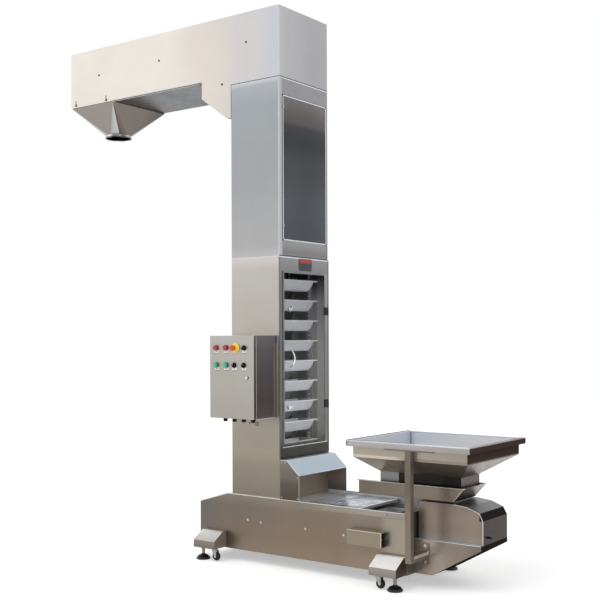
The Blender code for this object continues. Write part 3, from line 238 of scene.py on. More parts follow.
def steel(name, nodes, front, right=None, top=None, bottom=None, left=None, rear=None,
          patches=(), satin=(), matt=(), rough=0.34, grain="Z", metallic=SHEET, worn=1.0):
    """Dress nodes in brushed stainless whose tone drifts over each face in painted shade and
    painted reflections of the studio.

    Each face has a look, as Finish.paint takes it: a lit or shaded tone of the one sheet. A patch
    is the low and high corner of a box and the look inside it, which paints shade and highlights
    there. Satin lists the boxes where the sheet mirrors little, matt the boxes or facings where it
    mirrors nothing.
    """
    made = Finish(name, metallic=metallic)
    colour = front
    for look, axis, sign in ((right, "X", 1), (left, "X", -1), (rear, "Y", 1), (top, "Z", 1),
                             (bottom, "Z", -1)):
        if look is not None:
            colour = made.mix(made.facing(axis, sign), colour, look)
    for low, high, look in patches:
        colour = made.mix(made.within(low, high), colour, look)
    brushed(made, colour, grain, rough, worn)
    dull = 0.0
    for low, high in satin:
        dull = made.maths('MAXIMUM', dull, made.within(low, high))
    mirrored = made.fit(dull, 0, 1, metallic, SATIN)
    flat = 0.0
    for item in matt:
        here = made.facing(*item) if isinstance(item[0], str) else made.within(*item)
        flat = made.maths('MAXIMUM', flat, here)
    if satin or matt:
        made.set("Metallic", made.maths('MULTIPLY', mirrored, made.maths('SUBTRACT', 1.0, flat)))
    if matt:
        made.set("Specular IOR Level", made.fit(flat, 0, 1, 0.5, 0.0))
    dress(made.material, *nodes)


def plastic(name, colour, rough, speckle=0.03, coat=0.0, shine=0.5):
    """Moulded plastic with a faint orange-peel surface."""
    made = Finish(name, roughness=rough)
    grain = made.noise(900, 2.0)
    clouds = made.noise(30, 3.0)
    made.set("Base Color", made.vary(colour, clouds, 1 - speckle, 1 + speckle))
    made.set("Roughness", made.fit(clouds, 0.3, 0.7, rough - 0.04, rough + 0.06))
    made.set("Coat Weight", coat)
    made.set("Specular IOR Level", shine)
    made.bump(grain, 0.08, 0.0004)
    return made.material


def metal(name, colour, rough):
    """Plain turned or plated metal with light scratches."""
    made = Finish(name, metallic=1.0)
    scratches = made.noise(700, 3.0, roughness=0.7)
    clouds = made.noise(40, 3.0)
    made.set("Base Color", made.vary(colour, clouds, 0.94, 1.05))
    made.set("Roughness", made.fit(scratches, 0.3, 0.7, rough - 0.04, rough + 0.08))
    made.bump(scratches, 0.06, 0.0003)
    return made.material


# Meshes
SHARP = math.radians(35)


def linked(name, data):
    """An object in the scene that holds the data."""
    item = bpy.data.objects.new(name, data)
    bpy.context.scene.collection.objects.link(item)
    return item


def finished(name, made, material, body="housing"):
    mesh = bpy.data.meshes.new(name)
    bmesh.ops.recalc_face_normals(made, faces=made.faces)
    made.to_mesh(mesh)
    made.free()
    mesh.shade_smooth()
    mesh.set_sharp_from_angle(angle=SHARP)
    mesh.materials.append(material)
    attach(linked(name, mesh), body)


def turn_to(axis, sign):
    """Rotation that lays +Z along an axis."""
    direction = Vector([sign if AXES[axis] == i else 0 for i in range(3)])
    return Vector((0, 0, 1)).rotation_difference(direction).to_matrix().to_4x4()


# Turns that make a shape drawn up +Z face -Y, or face +X with the second value of its outline up
FACING_OUT = turn_to("Y", -1)
FACING_RIGHT = Matrix(((0, 0, 1, 0), (1, 0, 0, 0), (0, 1, 0, 0), (0, 0, 0, 1)))


def lay(made, verts, place, turn):
    bmesh.ops.transform(made, matrix=Matrix.Translation(place) @ turn, verts=verts)


def polygon(sides, radius, start=0.0):
    return [(radius * math.cos(start + 2 * math.pi * i / sides),
             radius * math.sin(start + 2 * math.pi * i / sides)) for i in range(sides)]


def add_turned(made, profile, place, turn=Matrix.Identity(4), sides=24):
    """Revolve a profile of (radius, height) points about a place."""
    rings = []
    for radius, height in profile:
        ring = polygon(sides, radius) if radius else [(0, 0)]
        rings.append([made.verts.new((*point, height)) for point in ring])
    for lower, upper in zip(rings, rings[1:]):
        for i in range(sides):
            j = (i + 1) % sides
            corners = [lower[i % len(lower)], lower[j % len(lower)],
                       upper[j % len(upper)], upper[i % len(upper)]]
            corners = list(dict.fromkeys(corners))
            if len(corners) > 2:
                made.faces.new(corners)
    lay(made, [v for ring in rings for v in ring], place, turn)


def add_disc(made, radius, height, place, turn, sides):
    add_turned(made, [(0, 0), (radius, 0), (radius, height), (0, height)], place, turn, sides)


def add_slab(made, low, high, bevel=0.0):
    """A box between two corners, with rounded edges."""
    cube = bmesh.ops.create_cube(made, size=1.0)["verts"]
    bmesh.ops.scale(made, vec=high - low, verts=cube)
    bmesh.ops.translate(made, vec=(high + low) / 2, verts=cube)
    if bevel:
        edges = list({edge for v in cube for edge in v.link_edges})
        bmesh.ops.bevel(made, geom=edges, offset=bevel, segments=2, affect='EDGES', profile=0.5)


def add_prism(made, outline, low, high, place, turn=Matrix.Identity(4)):
    """A flat outline drawn up from low to high, then turned and laid at a place."""
    under = [made.verts.new((u, v, low)) for u, v in outline]
    over = [made.verts.new((u, v, high)) for u, v in outline]
    count = len(outline)
    made.faces.new(under[::-1])
    made.faces.new(over)
    for i in range(count):
        made.faces.new((under[i], under[(i + 1) % count], over[(i + 1) % count], over[i]))
    lay(made, under + over, place, turn)


def add_rod(made, points, radius, sides=8):
    """Round beads between following points."""
    for start, end in zip(points, points[1:]):
        way = end - start
        turn = Vector((0, 0, 1)).rotation_difference(way).to_matrix().to_4x4()
        add_disc(made, radius, way.length, start, turn, sides)


BUTTON_HEAD = ((1.0, 0.0), (0.97, 0.25), (0.8, 0.5), (0.45, 0.62), (0.42, 0.6),
               (0.4, 0.25), (0.0, 0.22))


def screws(name, places, radius, material, axis="Y", sign=-1):
    """Button-head screws with a hex socket, all looking along one axis."""
    made = bmesh.new()
    for place in places:
        add_turned(made, [(r * radius, h * radius) for r, h in BUTTON_HEAD], place,
                   turn_to(axis, sign), 16)
    finished(name, made, material)


def bolts(name, places, radius, material, sign=-1):
    """Hex bolts on washers, all looking along Y."""
    made = bmesh.new()
    turn = turn_to("Y", sign)
    for place in places:
        add_disc(made, 1.45 * radius, 0.18 * radius, place, turn, 20)
        add_prism(made, polygon(6, radius), 0.18 * radius, 0.75 * radius, place, turn)
        add_prism(made, polygon(6, 0.86 * radius), 0.75 * radius, 0.86 * radius, place, turn)
    finished(name, made, material)


# Finishes of the CAD nodes, with painted shade and reflections, and the boxes that hold painted
# shade and highlights of their own
ANY = (None, None, None)

# Painted reflections: the arm's front drifts from cream to lavender along X, and each face has its
# own lit or shaded tone
steel(
    "arm_steel", ["head_side_front", "head_side_rear"],
    front=("X", [(-1.675, 238, 232, 222), (-0.8, 240, 233, 224), (-0.35, 226, 218, 211),
                 (-0.05, 214, 211, 211), (0.188, 205, 207, 214)]),
    rear=(190, 188, 184), right=(178, 177, 180), left=(190, 186, 178), top=(205, 203, 198),
    rough=0.36, grain="X")

# Painted shade: the right face darkens toward the rear, the underside is dark and each face has its
# own lit tone
steel(
    "head_steel", ["head_cover"], front=(190, 188, 184),
    right=("Y", [(-0.2535, 190, 189, 193), (-0.15, 181, 180, 183), (0.1, 171, 170, 174),
                 (0.2535, 174, 174, 177)]),
    top=(206, 204, 199), left=(196, 190, 180), bottom=(96, 98, 102))

# Painted shade and painted reflections: the underside is dark, with bands along X
steel(
    "underside_steel", ["head_underside"], front=(84, 86, 90),
    bottom=("X", [(-1.675, 70, 63, 58), (-1.15, 72, 66, 62), (-0.95, 76, 81, 84),
                  (-0.83, 61, 64, 69), (-0.65, 84, 87, 90), (-0.45, 80, 80, 82)]),
    right=(60, 66, 70), left=(60, 66, 70), top=(60, 61, 64), grain="X")

COLLAR = (ANY, (None, None, 2.8379))
THROAT_BOTTOM = 2.8192
THROAT_RADIUS = 0.0908
OUTLET_X = -1.462
# Painted reflections on the bends by facing, painted shade toward the rear, and painted bright and
# dark bands round the collar
chute = Finish("chute_steel", metallic=SHEET)
across = chute.maths('ABSOLUTE', chute.normal("X"))
along = chute.maths('ABSOLUTE', chute.normal("Y"))
turned_to = chute.maths('DIVIDE', across, chute.maths('ADD', across, along))
bend_reflections = chute.ramp(turned_to, [(0.0, 146, 139, 133), (0.1, 142, 136, 131), (0.18, 170, 170, 168),
                               (0.5, 184, 188, 188), (0.6, 84, 79, 72), (0.76, 120, 110, 101),
                               (0.86, 104, 97, 89), (1.0, 122, 113, 107)])
surface = chute.mix(chute.within(*COLLAR),
                    (bend_reflections, ("Y", [(-0.2535, 255), (0.05, 250), (0.2535, 205)])),
                    ("X", [(-1.56, 150, 152, 152), (-1.535, 235, 242, 242),
                           (-1.5, 170, 184, 190), (-1.462, 240, 244, 248),
                           (-1.42, 120, 122, 120), (-1.365, 188)]))
beside = chute.maths('SUBTRACT', chute.position("X"), OUTLET_X)
behind = chute.position("Y")
off_axis = chute.maths('SQRT', chute.maths('ADD', chute.maths('MULTIPLY', beside, beside),
                                           chute.maths('MULTIPLY', behind, behind)))
# Painted shade: inside the throat and on inner faces that look up, the sheet is painted near black
throat_shade_mask = chute.maths('MULTIPLY', chute.maths('LESS_THAN', off_axis, THROAT_RADIUS),
                     chute.within((None, None, THROAT_BOTTOM), ANY))
inner_shade_mask = chute.fit(chute.normal("Z"), 0.05, 0.1)
surface = chute.mix(chute.maths('MAXIMUM', throat_shade_mask, inner_shade_mask), surface, (18, 19, 22))
brushed(chute, surface, "Z", 0.26, 1.4)
dress(chute.material, "discharge_chute")

WALL_BACK = ((-0.1868, -0.2512, None), (-0.15, 0.2512, None))
WALL_SIDE = ((-0.1868, 0.19, None), (0.1865, 0.2518, None))
WALL_NEAR = ((-0.1868, -0.2518, None), (0.1865, -0.19, None))
# Painted shade on the column's side wall behind the window: a painted chain shadow at low X,
# darkest toward the top
SIDE_WALL_SHADE = (("X", [(0.058, 222), (0.1, 224), (0.108, 255), (0.18, 246)]),
          ("Z", [(0.42, 226, 206, 190), (0.66, 222, 208, 196), (0.8, 226, 224, 220),
                 (1.35, 222, 222, 220), (1.6, 190), (1.74, 110), (1.8, 40)]))

# Painted reflections: the front's tone drifts with height; the inner walls are painted dark as
# shade
steel(
    "column_upper_steel", ["column_upper_shell"],
    front=("Z", [(1.883, 188, 188, 190), (1.96, 176, 176, 177), (2.4, 167, 169, 172),
                 (2.8, 168, 173, 177), (2.93, 178, 182, 187), (2.968, 210, 212, 218)]),
    rear=(172, 172, 173), left=(168, 168, 170),
    patches=[(*WALL_BACK, (60, 60, 62)), (*WALL_SIDE, (70, 70, 72)), (*WALL_NEAR, (60, 60, 62))])

INLET = ((-0.1868, -0.2512, None), (0.1865, 0.2512, 0.66))
# Painted shade: the front is darker toward the foot and lighter toward the top, and the inner walls
# darken toward the top of the window
steel(
    "column_lower_steel", ["column_lower_shell"],
    front=("Z", [(0.417, 128, 121, 107), (0.58, 140, 133, 119), (0.7, 154, 147, 132),
                 (0.95, 163, 156, 143), (1.4, 184, 180, 172), (1.8, 192, 188, 182),
                 (1.87, 206, 203, 198), (1.883, 212, 210, 206)]),
    rear=(172, 169, 163), left=(168, 165, 160),
    patches=[(*WALL_BACK,
              (("Y", [(-0.2512, 160, 160, 162), (0.2, 255)]),
               ("Z", [(0.42, 250, 236, 224), (0.64, 244, 230, 220), (0.7, 200, 198, 196),
                      (1.1, 190), (1.5, 124, 124, 126), (1.78, 44, 44, 46)]))),
             (*WALL_SIDE, SIDE_WALL_SHADE), (*WALL_NEAR, 92)],
    satin=[WALL_SIDE, INLET], rough=0.36)

# Painted shade and highlights on the column's frame: a dark near stile, bright and dark stripes on
# the far stile, a brighter strip by the near corner, a warm tone under the hood and a right face
# that drifts with height
STILE_NEAR = ((0.187, -0.231, 0.72), (0.19, -0.2165, 1.795))
STILE_FAR = ((0.187, 0.2155, 0.72), (0.19, 0.254, 1.795))
UNDER_HOOD = ((0.18, -0.2512, 0.4), (0.19, 0.2512, 0.65))
STRIP_NEAR = ((0.187, -0.2535, 1.89), (0.19, -0.2245, 2.96))
steel(
    "column_frame_steel", ["column_lower_frame", "column_upper_frame"], front=(120, 120, 122),
    rear=(110, 110, 112), left=(46, 46, 48),
    right=("Z", [(0.417, 72, 69, 63), (0.7, 57, 56, 51), (0.8, 104), (1.7, 116, 116, 118),
                 (1.8, 132, 131, 132), (1.88, 146, 145, 146), (1.9, 128, 126, 127),
                 (1.975, 150, 149, 150), (2.05, 138, 138, 142), (2.86, 150, 149, 153),
                 (2.968, 150, 149, 154)]),
    patches=[(*UNDER_HOOD, (206, 190, 176)), (*STILE_NEAR, (72, 76, 76)),
             (*STRIP_NEAR, (178, 179, 182)),
             (*STILE_FAR,
              (("Y", [(0.2155, 150), (0.224, 235), (0.231, 205), (0.243, 230), (0.2485, 200),
                      (0.2535, 110)]),
               ("Z", [(0.72, 138, 136, 130), (1.2, 150, 149, 146), (1.78, 182, 182, 184)])))],
    satin=[UNDER_HOOD], rough=0.32)

# Painted reflections: the polished panel's right face mirrors a dark hall, darker in a band below
# its top
steel(
    "upper_panel_steel", ["upper_panel"], front=(120, 120, 124), top=(120, 120, 124),
    right=(("Y", [(-0.22, 246), (0.02, 236), (0.236, 255)]),
           ("Z", [(1.98, 76, 80, 87), (2.2, 80, 83, 90), (2.45, 71, 73, 76), (2.6, 55, 57, 60),
                  (2.68, 64, 66, 67), (2.72, 92, 90, 88), (2.862, 120, 116, 115)])),
    rough=0.22, worn=2.2)

# Painted shade and highlights on the base sides: a lighter rail and right end, a darker take-up box
# face, lit bracket slopes, a dark bracket end, a screw's painted glint and light inner faces
RAIL = ((0.334, -0.26, 0.381), (1.059, -0.2545, 0.418))
BASE_NEAR = ((0.88, -0.2545, 0.19), (1.066, -0.253, 0.381))
BOX_FACE = ((0.699, -0.305, 0.217), (0.931, -0.303, 0.303))
SCREW_GLINT = ((0.812, -0.29, 0.25), (0.9265, -0.267, 0.27))
BRACKETS = (ANY, (None, -0.256, 0.179))
BRACKET_RIGHT = ((0.8, None, None), (1.064, -0.256, 0.179))
BRACKET_END = ((1.064, None, None), (None, -0.256, 0.179))
BRACKET_INSIDE = ((-0.2415, None, None), (-0.2385, -0.256, 0.179))
WITHIN_BASE = ((None, -0.2507, None), (None, 0.2507, None))
steel(
    "base_steel", ["base_side_front", "base_side_rear"],
    front=(("X", [(-0.455, 214, 224, 238), (-0.2, 232, 234, 238), (0.25, 244, 240, 238),
                  (0.6, 246, 242, 238), (0.72, 255), (1.065, 255)]),
           ("Z", [(0.075, 142, 126, 111), (0.2, 132, 118, 102), (0.34, 127, 117, 104),
                  (0.417, 140, 131, 118)])),
    rear=(150, 146, 139), right=(120, 114, 108), left=(150, 146, 140), top=(196, 188, 176),
    bottom=(90, 88, 84),
    patches=[(*WITHIN_BASE, (252, 250, 248)),
             (*RAIL,
              ("X", [(0.334, 128, 122, 111), (0.56, 145, 134, 122), (0.83, 154, 146, 134),
                     (1.058, 145, 138, 128)])),
             (*BASE_NEAR,
              ("X", [(0.88, 132, 118, 104), (0.945, 150, 142, 128), (1.066, 152, 144, 131)])),
             (*BOX_FACE, (140, 129, 112)), (*SCREW_GLINT, (226, 222, 214)),
             (*BRACKETS,
              ("Z", [(0.08, 118, 110, 102), (0.124, 132, 124, 116), (0.127, 196, 193, 188),
                     (0.178, 222, 220, 217)])),
             (*BRACKET_RIGHT,
              ("Z", [(0.08, 134, 130, 124), (0.124, 150, 144, 138), (0.127, 255, 253, 250),
                     (0.178, 255, 254, 252)])), (*BRACKET_END, (62, 48, 42)),
             (*BRACKET_INSIDE, (140, 126, 118))],
    satin=[BRACKET_RIGHT, BRACKET_INSIDE, WITHIN_BASE], rough=0.32, grain="X", worn=1.4)

# Painted shade: each face of the floor plate has its own lit or shaded tone
steel(
    "base_floor_steel", ["base_floor"], front=(112, 104, 96), left=(150, 146, 140),
    right=(84, 80, 76), top=(252, 250, 248), bottom=(90, 88, 84), grain="X", metallic=0.3)

# Painted shade across the deck, darker at the near edge, and painted light under the hood
steel(
    "deck_steel", ["base_deck"], front=(150, 152, 156),
    top=("Y", [(-0.25, 104, 107, 112), (-0.19, 128, 129, 131), (-0.1, 196, 200, 206),
               (0.08, 222, 228, 242), (0.2, 168, 174, 180)]),
    patches=[(ANY, (0.33, None, None),
              ("Y", [(-0.25, 196, 198, 204), (-0.1, 250, 250, 255), (0.1, 255),
                     (0.25, 236, 240, 246)]))],
    grain="Y", metallic=0.35, worn=2.0)

# Painted shade: the cheeks darken toward the foot and each face has its own lit tone
CHEEK = ((0.1883, None, None), (0.329, -0.253, 0.6525))
WITHIN_HOOD = ((0.1883, -0.251, None), (0.324, 0.252, 0.56))
steel(
    "hood_steel", ["inlet_hood"],
    front=("Z", [(0.417, 122, 119, 116), (0.5, 166, 152, 142), (0.653, 174, 159, 147)]),
    rear=(140, 139, 137), right=(192, 208, 221),
    top=("X", [(0.188, 152, 162, 176), (0.245, 192, 208, 221)]), bottom=(200, 186, 174),
    left=(200, 186, 174),
    patches=[(*CHEEK,
              ("Z", [(0.417, 69, 61, 52), (0.5, 83, 75, 65), (0.56, 108, 101, 91),
                     (0.653, 128, 121, 110)]))],
    satin=[WITHIN_HOOD], rough=0.36, grain="Y", metallic=0.3, worn=0.5)

# Painted shade: the frame darkens along X and its right and lower faces are dark
steel(
    "feeder_steel", ["feeder_frame"],
    front=("X", [(1.065, 158, 146, 132), (1.18, 162, 150, 138), (1.32, 136, 124, 114),
                 (1.471, 118, 108, 100)]),
    rear=(128, 122, 114), right=(44, 40, 36), top=(150, 144, 136), bottom=(40, 36, 34),
    matt=[("X", 1), ("Z", -1)], rough=0.3, grain="X", worn=1.2)

# Painted reflections and shade on the vibrator cover: a near-black top, a dark bend and right face,
# a lit front
COVER_BEND = ((1.4545, None, 0.4015), (None, None, 0.4405))
steel(
    "vibrator_housing_steel", ["vibrator_housing"],
    front=(("X", [(1.08, 226, 228, 232), (1.2, 255), (1.27, 242), (1.36, 246),
                  (1.42, 252, 250, 250), (1.476, 244, 240, 240)]),
           ("Z", [(0.27, 144, 137, 130), (0.33, 140, 126, 113), (0.42, 142, 127, 115),
                  (0.478, 132, 120, 110)])),
    rear=(128, 122, 114), right=(36, 22, 12),
    top=(("X", [(1.08, 6), (1.301, 6), (1.31, 104, 104, 105), (1.476, 104, 104, 105)]),
         ("Y", [(-0.15, 204), (0.15, 255)])),
    patches=[(*COVER_BEND, (43, 40, 42))], matt=[COVER_BEND], left=(90, 84, 78), rough=0.3,
    grain="X", worn=0.8)

# Painted highlight toward the top of the pan's right face, and painted shade on its other faces
steel(
    "pan_steel", ["feeder_pan"],
    front=("X", [(0.67, 111, 102, 91), (1.0, 122, 112, 100), (1.2, 124, 114, 102),
                 (1.36, 116, 106, 96)]),
    rear=(140, 134, 124), right=("Z", [(0.486, 164, 161, 159), (0.565, 255, 254, 252)]),
    top=(196, 192, 184), bottom=(80, 75, 72), rough=0.28, grain="X", worn=1.2)

RIM_BAND = ((None, None, 0.7345), ANY)
RIM_FLANGE = ((1.469, None, 0.811), ANY)
RIM_RIGHT = ((1.4, None, 0.725), ANY)
WITHIN_RIM = ((0.7595, -0.3205, 0.721), (1.4705, 0.3205, None))
NECK_LEFT = ((None, -0.11, None), (0.93, -0.107, 0.6195))
NECK_RIGHT = ((0.93, -0.11, None), (None, -0.107, 0.6195))
# Painted reflections and shade on the hopper: light inner and lying faces, dark right faces, a lit
# and a near-black side of the neck, a rim band and a flange that darkens toward the rear
hopper = Finish("hopper_steel", metallic=SHEET)
outer = (("X", [(0.73, 255), (1.02, 255), (1.12, 180, 180, 178), (1.5, 180, 178, 176)]),
         ("Z", [(0.545, 174, 163, 152), (0.66, 203, 190, 176), (0.735, 198, 186, 170)]))
band = (("X", [(0.73, 250), (1.1, 244), (1.47, 232, 230, 228)]),
        ("Z", [(0.735, 168, 161, 148), (0.781, 166, 160, 147), (0.7835, 172, 169, 166),
               (0.813, 178, 176, 174)]))
for box, look in ((RIM_BAND, band), (NECK_LEFT, (120, 124, 122)), (NECK_RIGHT, (30, 28, 26))):
    outer = hopper.mix(hopper.within(*box), outer, look)
outer = hopper.mix(hopper.facing("X"), outer,
                   ("Z", [(0.6, 84, 76, 74), (0.722, 84, 76, 74), (0.729, 70, 57, 52),
                          (0.813, 70, 58, 54)]))
outer = hopper.mix(hopper.facing("X", -1), outer, (170, 176, 182))
inner = (("X", [(0.755, 226, 230, 240), (0.8, 255), (1.5, 255)]),
         ("Y", [(-0.32, 236, 234, 230), (0.0, 242, 242, 240), (0.32, 242, 246, 250)]))
lying = hopper.fit(hopper.normal("Z"), 0.05, 0.15)
surface = hopper.mix(hopper.maths('MAXIMUM', lying, hopper.within(*WITHIN_RIM)), outer, inner)
surface = hopper.mix(hopper.within(*RIM_FLANGE), surface,
                     ("Y", [(-0.35, 120, 112, 110), (0.0, 80, 70, 68), (0.35, 36, 30, 30)]))
brushed(hopper, surface, "Z", 0.3, 1.2)
dull = hopper.maths('MULTIPLY', hopper.facing("X"), hopper.within(*RIM_RIGHT))
hopper.set("Metallic", hopper.fit(dull, 0, 1, SHEET, 0.0))
hopper.set("Specular IOR Level", hopper.fit(dull, 0, 1, 0.5, 0.0))
dress(hopper.material, "feed_hopper")

# Painted shade down the post and on its faces, and a painted highlight strip low on the front post
steel(
    "post_steel", ["hopper_post_front", "hopper_post_rear"],
    front=("Z", [(0.17, 124, 116, 105), (0.42, 122, 112, 101), (0.58, 106, 98, 89),
                 (0.78, 110, 104, 98)]),
    rear=(136, 130, 122), right=(130, 124, 116),
    patches=[((1.15, -0.322, 0.188), (1.1545, -0.166, 0.21), (214, 210, 206))],
    left=(120, 114, 106), top=(150, 144, 134), bottom=(70, 66, 62), rough=0.32)

# Painted shade: the right face and the door's edge strip are dark, the top is lit and the front
# lightens upward
steel(
    "cabinet_steel", ["cabinet_box", "cabinet_door"],
    front=("Z", [(0.907, 168, 163, 156), (1.15, 175, 171, 165), (1.403, 184, 180, 175)]),
    right=(("Y", [(-0.4587, 255), (-0.32, 255), (-0.285, 250), (-0.2538, 255)]),
           ("Z", [(0.907, 88, 80, 80), (0.935, 72, 63, 62), (1.02, 66, 56, 57), (1.15, 70, 63, 65),
                  (1.3, 80, 76, 77), (1.403, 94, 93, 94)])),
    patches=[((0.1675, -0.29, 0.9), (0.1685, -0.25, 1.41), (110, 104, 105))], left=(160, 157, 152),
    rear=(120, 118, 116), top=(234, 231, 224), bottom=(60, 58, 56), rough=0.38)

# Painted shade: the cups darken toward the top of the column and on their near ends, and their lips
# are lit
bucket = Finish("bucket_plastic", roughness=0.42)
cup = bucket.mix(bucket.facing("Z"),
                 ("Z", [(0.9, 250, 251, 255), (1.2, 240, 241, 246), (1.42, 212, 213, 217),
                        (1.68, 198, 199, 204)]), (252, 253, 255))
cup = bucket.mix(bucket.facing("Y", -1), cup, (150, 151, 155))
clouds = bucket.noise(18, 3.0)
bucket.set("Base Color", bucket.vary(cup, clouds, 0.95, 1.04))
bucket.set("Roughness", bucket.fit(clouds, 0.3, 0.7, 0.36, 0.5))
bucket.bump(bucket.noise(500, 2.0), 0.06, 0.0004)
dress(bucket.material, *["swing_bucket_%d" % i for i in range(1, 10)])

# Painted shade: the chain darkens toward the top of the column
chain = Finish("chain_steel", metallic=0.9)
band = chain.maths('GREATER_THAN', chain.maths('ABSOLUTE', chain.position("Y")),
                   CHAIN_INNER - 0.002)
chain.set("Base Color", chain.mix(
    band, ("Z", [(0.3, 236, 236, 240), (0.75, 230, 231, 236), (1.1, 190, 191, 196),
                 (1.35, 110, 111, 114), (1.75, 60, 60, 62)]),
    ("Z", [(0.6, 230, 216, 204), (0.68, 176, 176, 178)])))
chain.set("Metallic", chain.fit(band, 0, 1, 0.0, 0.9))
chain.set("Roughness", chain.fit(chain.noise(60, 3.0), 0.3, 0.7, 0.35, 0.5))
dress(chain.material, "bucket_chain")
dress(metal("turned_steel", (150, 148, 146), 0.3), "tail_shaft")

chrome = metal("chrome", (226, 227, 230), 0.1)
dress(chrome, "door_handle", "door_lock_upper", "door_lock_lower")
black = plastic("black_plastic", (24, 24, 26), 0.55, shine=0.25)
dress(black, "hinge_post_lower", "hinge_post_upper", "hinge_leaf_lower", "hinge_leaf_upper",
      "speed_knob", "selector_left", "selector_right")
dress(plastic("stop_red", (232, 72, 40), 0.32, coat=0.3), "emergency_stop")

acrylic = Finish("clear_acrylic", roughness=0.06)
haze = acrylic.noise(5, 4.0)
acrylic.set("Base Color", acrylic.vary((84, 90, 90), haze, 0.9, 1.1))
acrylic.set("Alpha", acrylic.fit(haze, 0.3, 0.7, 0.015, 0.035))
acrylic.bump(acrylic.noise(2.2, 2.0), 0.02, 0.002)
dress(acrylic.material, "window_door")

PAD_TOP = 0.0245
pad = Finish("levelling_foot")
metal_part = pad.maths('GREATER_THAN', pad.position("Z"), PAD_TOP)
pad.set("Base Color", pad.mix(metal_part, (24, 24, 25), (130, 125, 118)))
pad.set("Metallic", metal_part)
pad.set("Roughness", pad.fit(pad.noise(80, 3.0), 0.3, 0.7, 0.38, 0.55))
pad.bump(pad.noise(400, 2.0), 0.1, 0.0005)
zinc = metal("zinc", (150, 151, 150), 0.16)
rubber = plastic("wheel_rubber", 26, 0.6, shine=0.3)
for corner in ("left_front", "left_rear", "right_front", "right_rear"):
    dress(pad.material, "levelling_foot_" + corner)
    dress(zinc, "caster_%s_fork" % corner)
    dress(rubber, "caster_%s_wheel" % corner)

FILM_START = 0.42           # the film's painted shade bands run along X and slant from here by this share
FILM_SLANT = 0.36
# Painted highlights and shade on the film: light and dark by its folds, and in slanting bands
lid = Finish("lid_film", metallic=0.25)
folds = lid.noise(14, 5.0, (1, 1, 1), 0.62)
film = lid.mix(lid.fit(folds, 0.38, 0.58), (118, 126, 140), (236, 243, 250))
slant = lid.maths('MULTIPLY', lid.maths('SUBTRACT', lid.position("X"), FILM_START), FILM_SLANT)
shade = lid.ramp(lid.maths('SUBTRACT', lid.position("Y"), slant), [
    (-0.36, 132, 132, 136), (-0.2, 138, 140, 146), (-0.186, 250), (-0.1, 226, 230, 236),
    (-0.01, 255), (0.04, 222, 230, 238), (0.065, 142, 148, 162), (0.16, 150, 158, 172),
    (0.25, 176, 184, 196)])
lid.set("Base Color", lid.paint((film, shade)))
lid.set("Roughness", lid.fit(folds, 0.35, 0.65, 0.12, 0.3))
lid.bump(folds, 0.6, 0.012)
dress(lid.material, "trough_lid")

# Small fasteners
screw_dark = metal("screw_dark", (38, 35, 33), 0.5)
screw_bright = metal("screw_bright", (196, 192, 184), 0.28)


def on_front(*places, out=0.0):
    """Places (x, z) on the machine's front face, or a little out from it."""
    return [at(x, FRONT - out, z) for x, z in places]


screws("arm_screws", on_front((-1.387, 3.215), (-0.811, 3.222), (-0.067, 3.216),
                              (-0.263, 2.984)), 0.0066, screw_dark)
CLIPS = [(-1.625, 3.036), (-1.318, 3.034)]
CLIP_THICK = 0.0022
screws("arm_edge_screws", on_front(*CLIPS, out=CLIP_THICK), 0.005, screw_bright)
made = bmesh.new()
for x, z in CLIPS:
    add_disc(made, 0.0095, CLIP_THICK, at(x, FRONT, z), FACING_OUT, 16)
    add_slab(made, at(x - 0.0025, FRONT - 0.0012, z + 0.012), at(x + 0.0025, FRONT, z + 0.03))
finished("arm_edge_clips", made, screw_dark)
PANEL_FACE = COLUMN_FACE + 0.0023
PANEL_CORNERS = ((-0.214, 2.79), (0.229, 2.806), (-0.214, 2.069), (0.23, 2.064))
screws("panel_screws", [at(PANEL_FACE, y, z) for y, z in PANEL_CORNERS], 0.0074, screw_bright,
       "X", 1)
bolts("base_bolts", on_front((-0.064, 0.267), (0.039, 0.261), (0.375, 0.258), (0.647, 0.253)),
      0.0052, screw_bright)
screws("rail_screw", on_front((0.939, 0.398), out=0.0012), 0.0034, screw_dark)
screws("column_stud", on_front((-0.049, 0.865)), 0.0048, screw_dark)
made = bmesh.new()
ring = ((0.0078, 0.0), (0.0078, 0.002), (0.0108, 0.002), (0.0108, 0.0), (0.0078, 0.0))
add_turned(made, ring, at(0.011, FRONT, 0.861), FACING_OUT, 28)
finished("column_ring", made, screw_dark)
screws("hood_screws", on_front((0.2, 0.64), (0.23, 0.64), (0.2, 0.43), (0.318, 0.43),
                               (0.318, 0.556)), 0.0045, screw_bright)
FLANGE_FACE = 0.1693
for side, name in ((-1, "front"), (1, "rear")):
    places = [at(1.1345, side * FLANGE_FACE, z) for z in (0.146, 0.236)]
    bolts("post_bolts_" + name, places, 0.006, screw_bright, side)

# Painted highlights as bright beads along folds and sheet edges, and painted shadows as dark seams
# Bright beads and slabs that stand for light caught on folds and edges: painted highlights
fold_highlight = metal("fold_highlight", (216, 219, 223), 0.34)
fold_warm_highlight = metal("fold_warm_highlight", (204, 196, 182), 0.34)
# Dark lines in seams, recesses and under folds are painted shadows; the pale line under the arm is
# a painted reflection
painted_seam_shade = plastic("painted_seam_shade", (58, 60, 63), 0.6, 0.08)
shadow_teal = plastic("shadow_teal", (66, 82, 86), 0.6, 0.08)
arm_pale_reflection = plastic("arm_pale_reflection", (206, 192, 186), 0.6, 0.04)


def beads(name, material, radius, *runs):
    """Thin rods along runs of points, as one piece."""
    made = bmesh.new()
    for run in runs:
        add_rod(made, [at(*point) for point in run], radius)
    finished(name, made, material)


def slabs(name, material, *boxes, body="housing"):
    """Boxes between low and high corners, as one piece."""
    made = bmesh.new()
    for low, high in boxes:
        add_slab(made, at(*low), at(*high))
    finished(name, made, material, body)


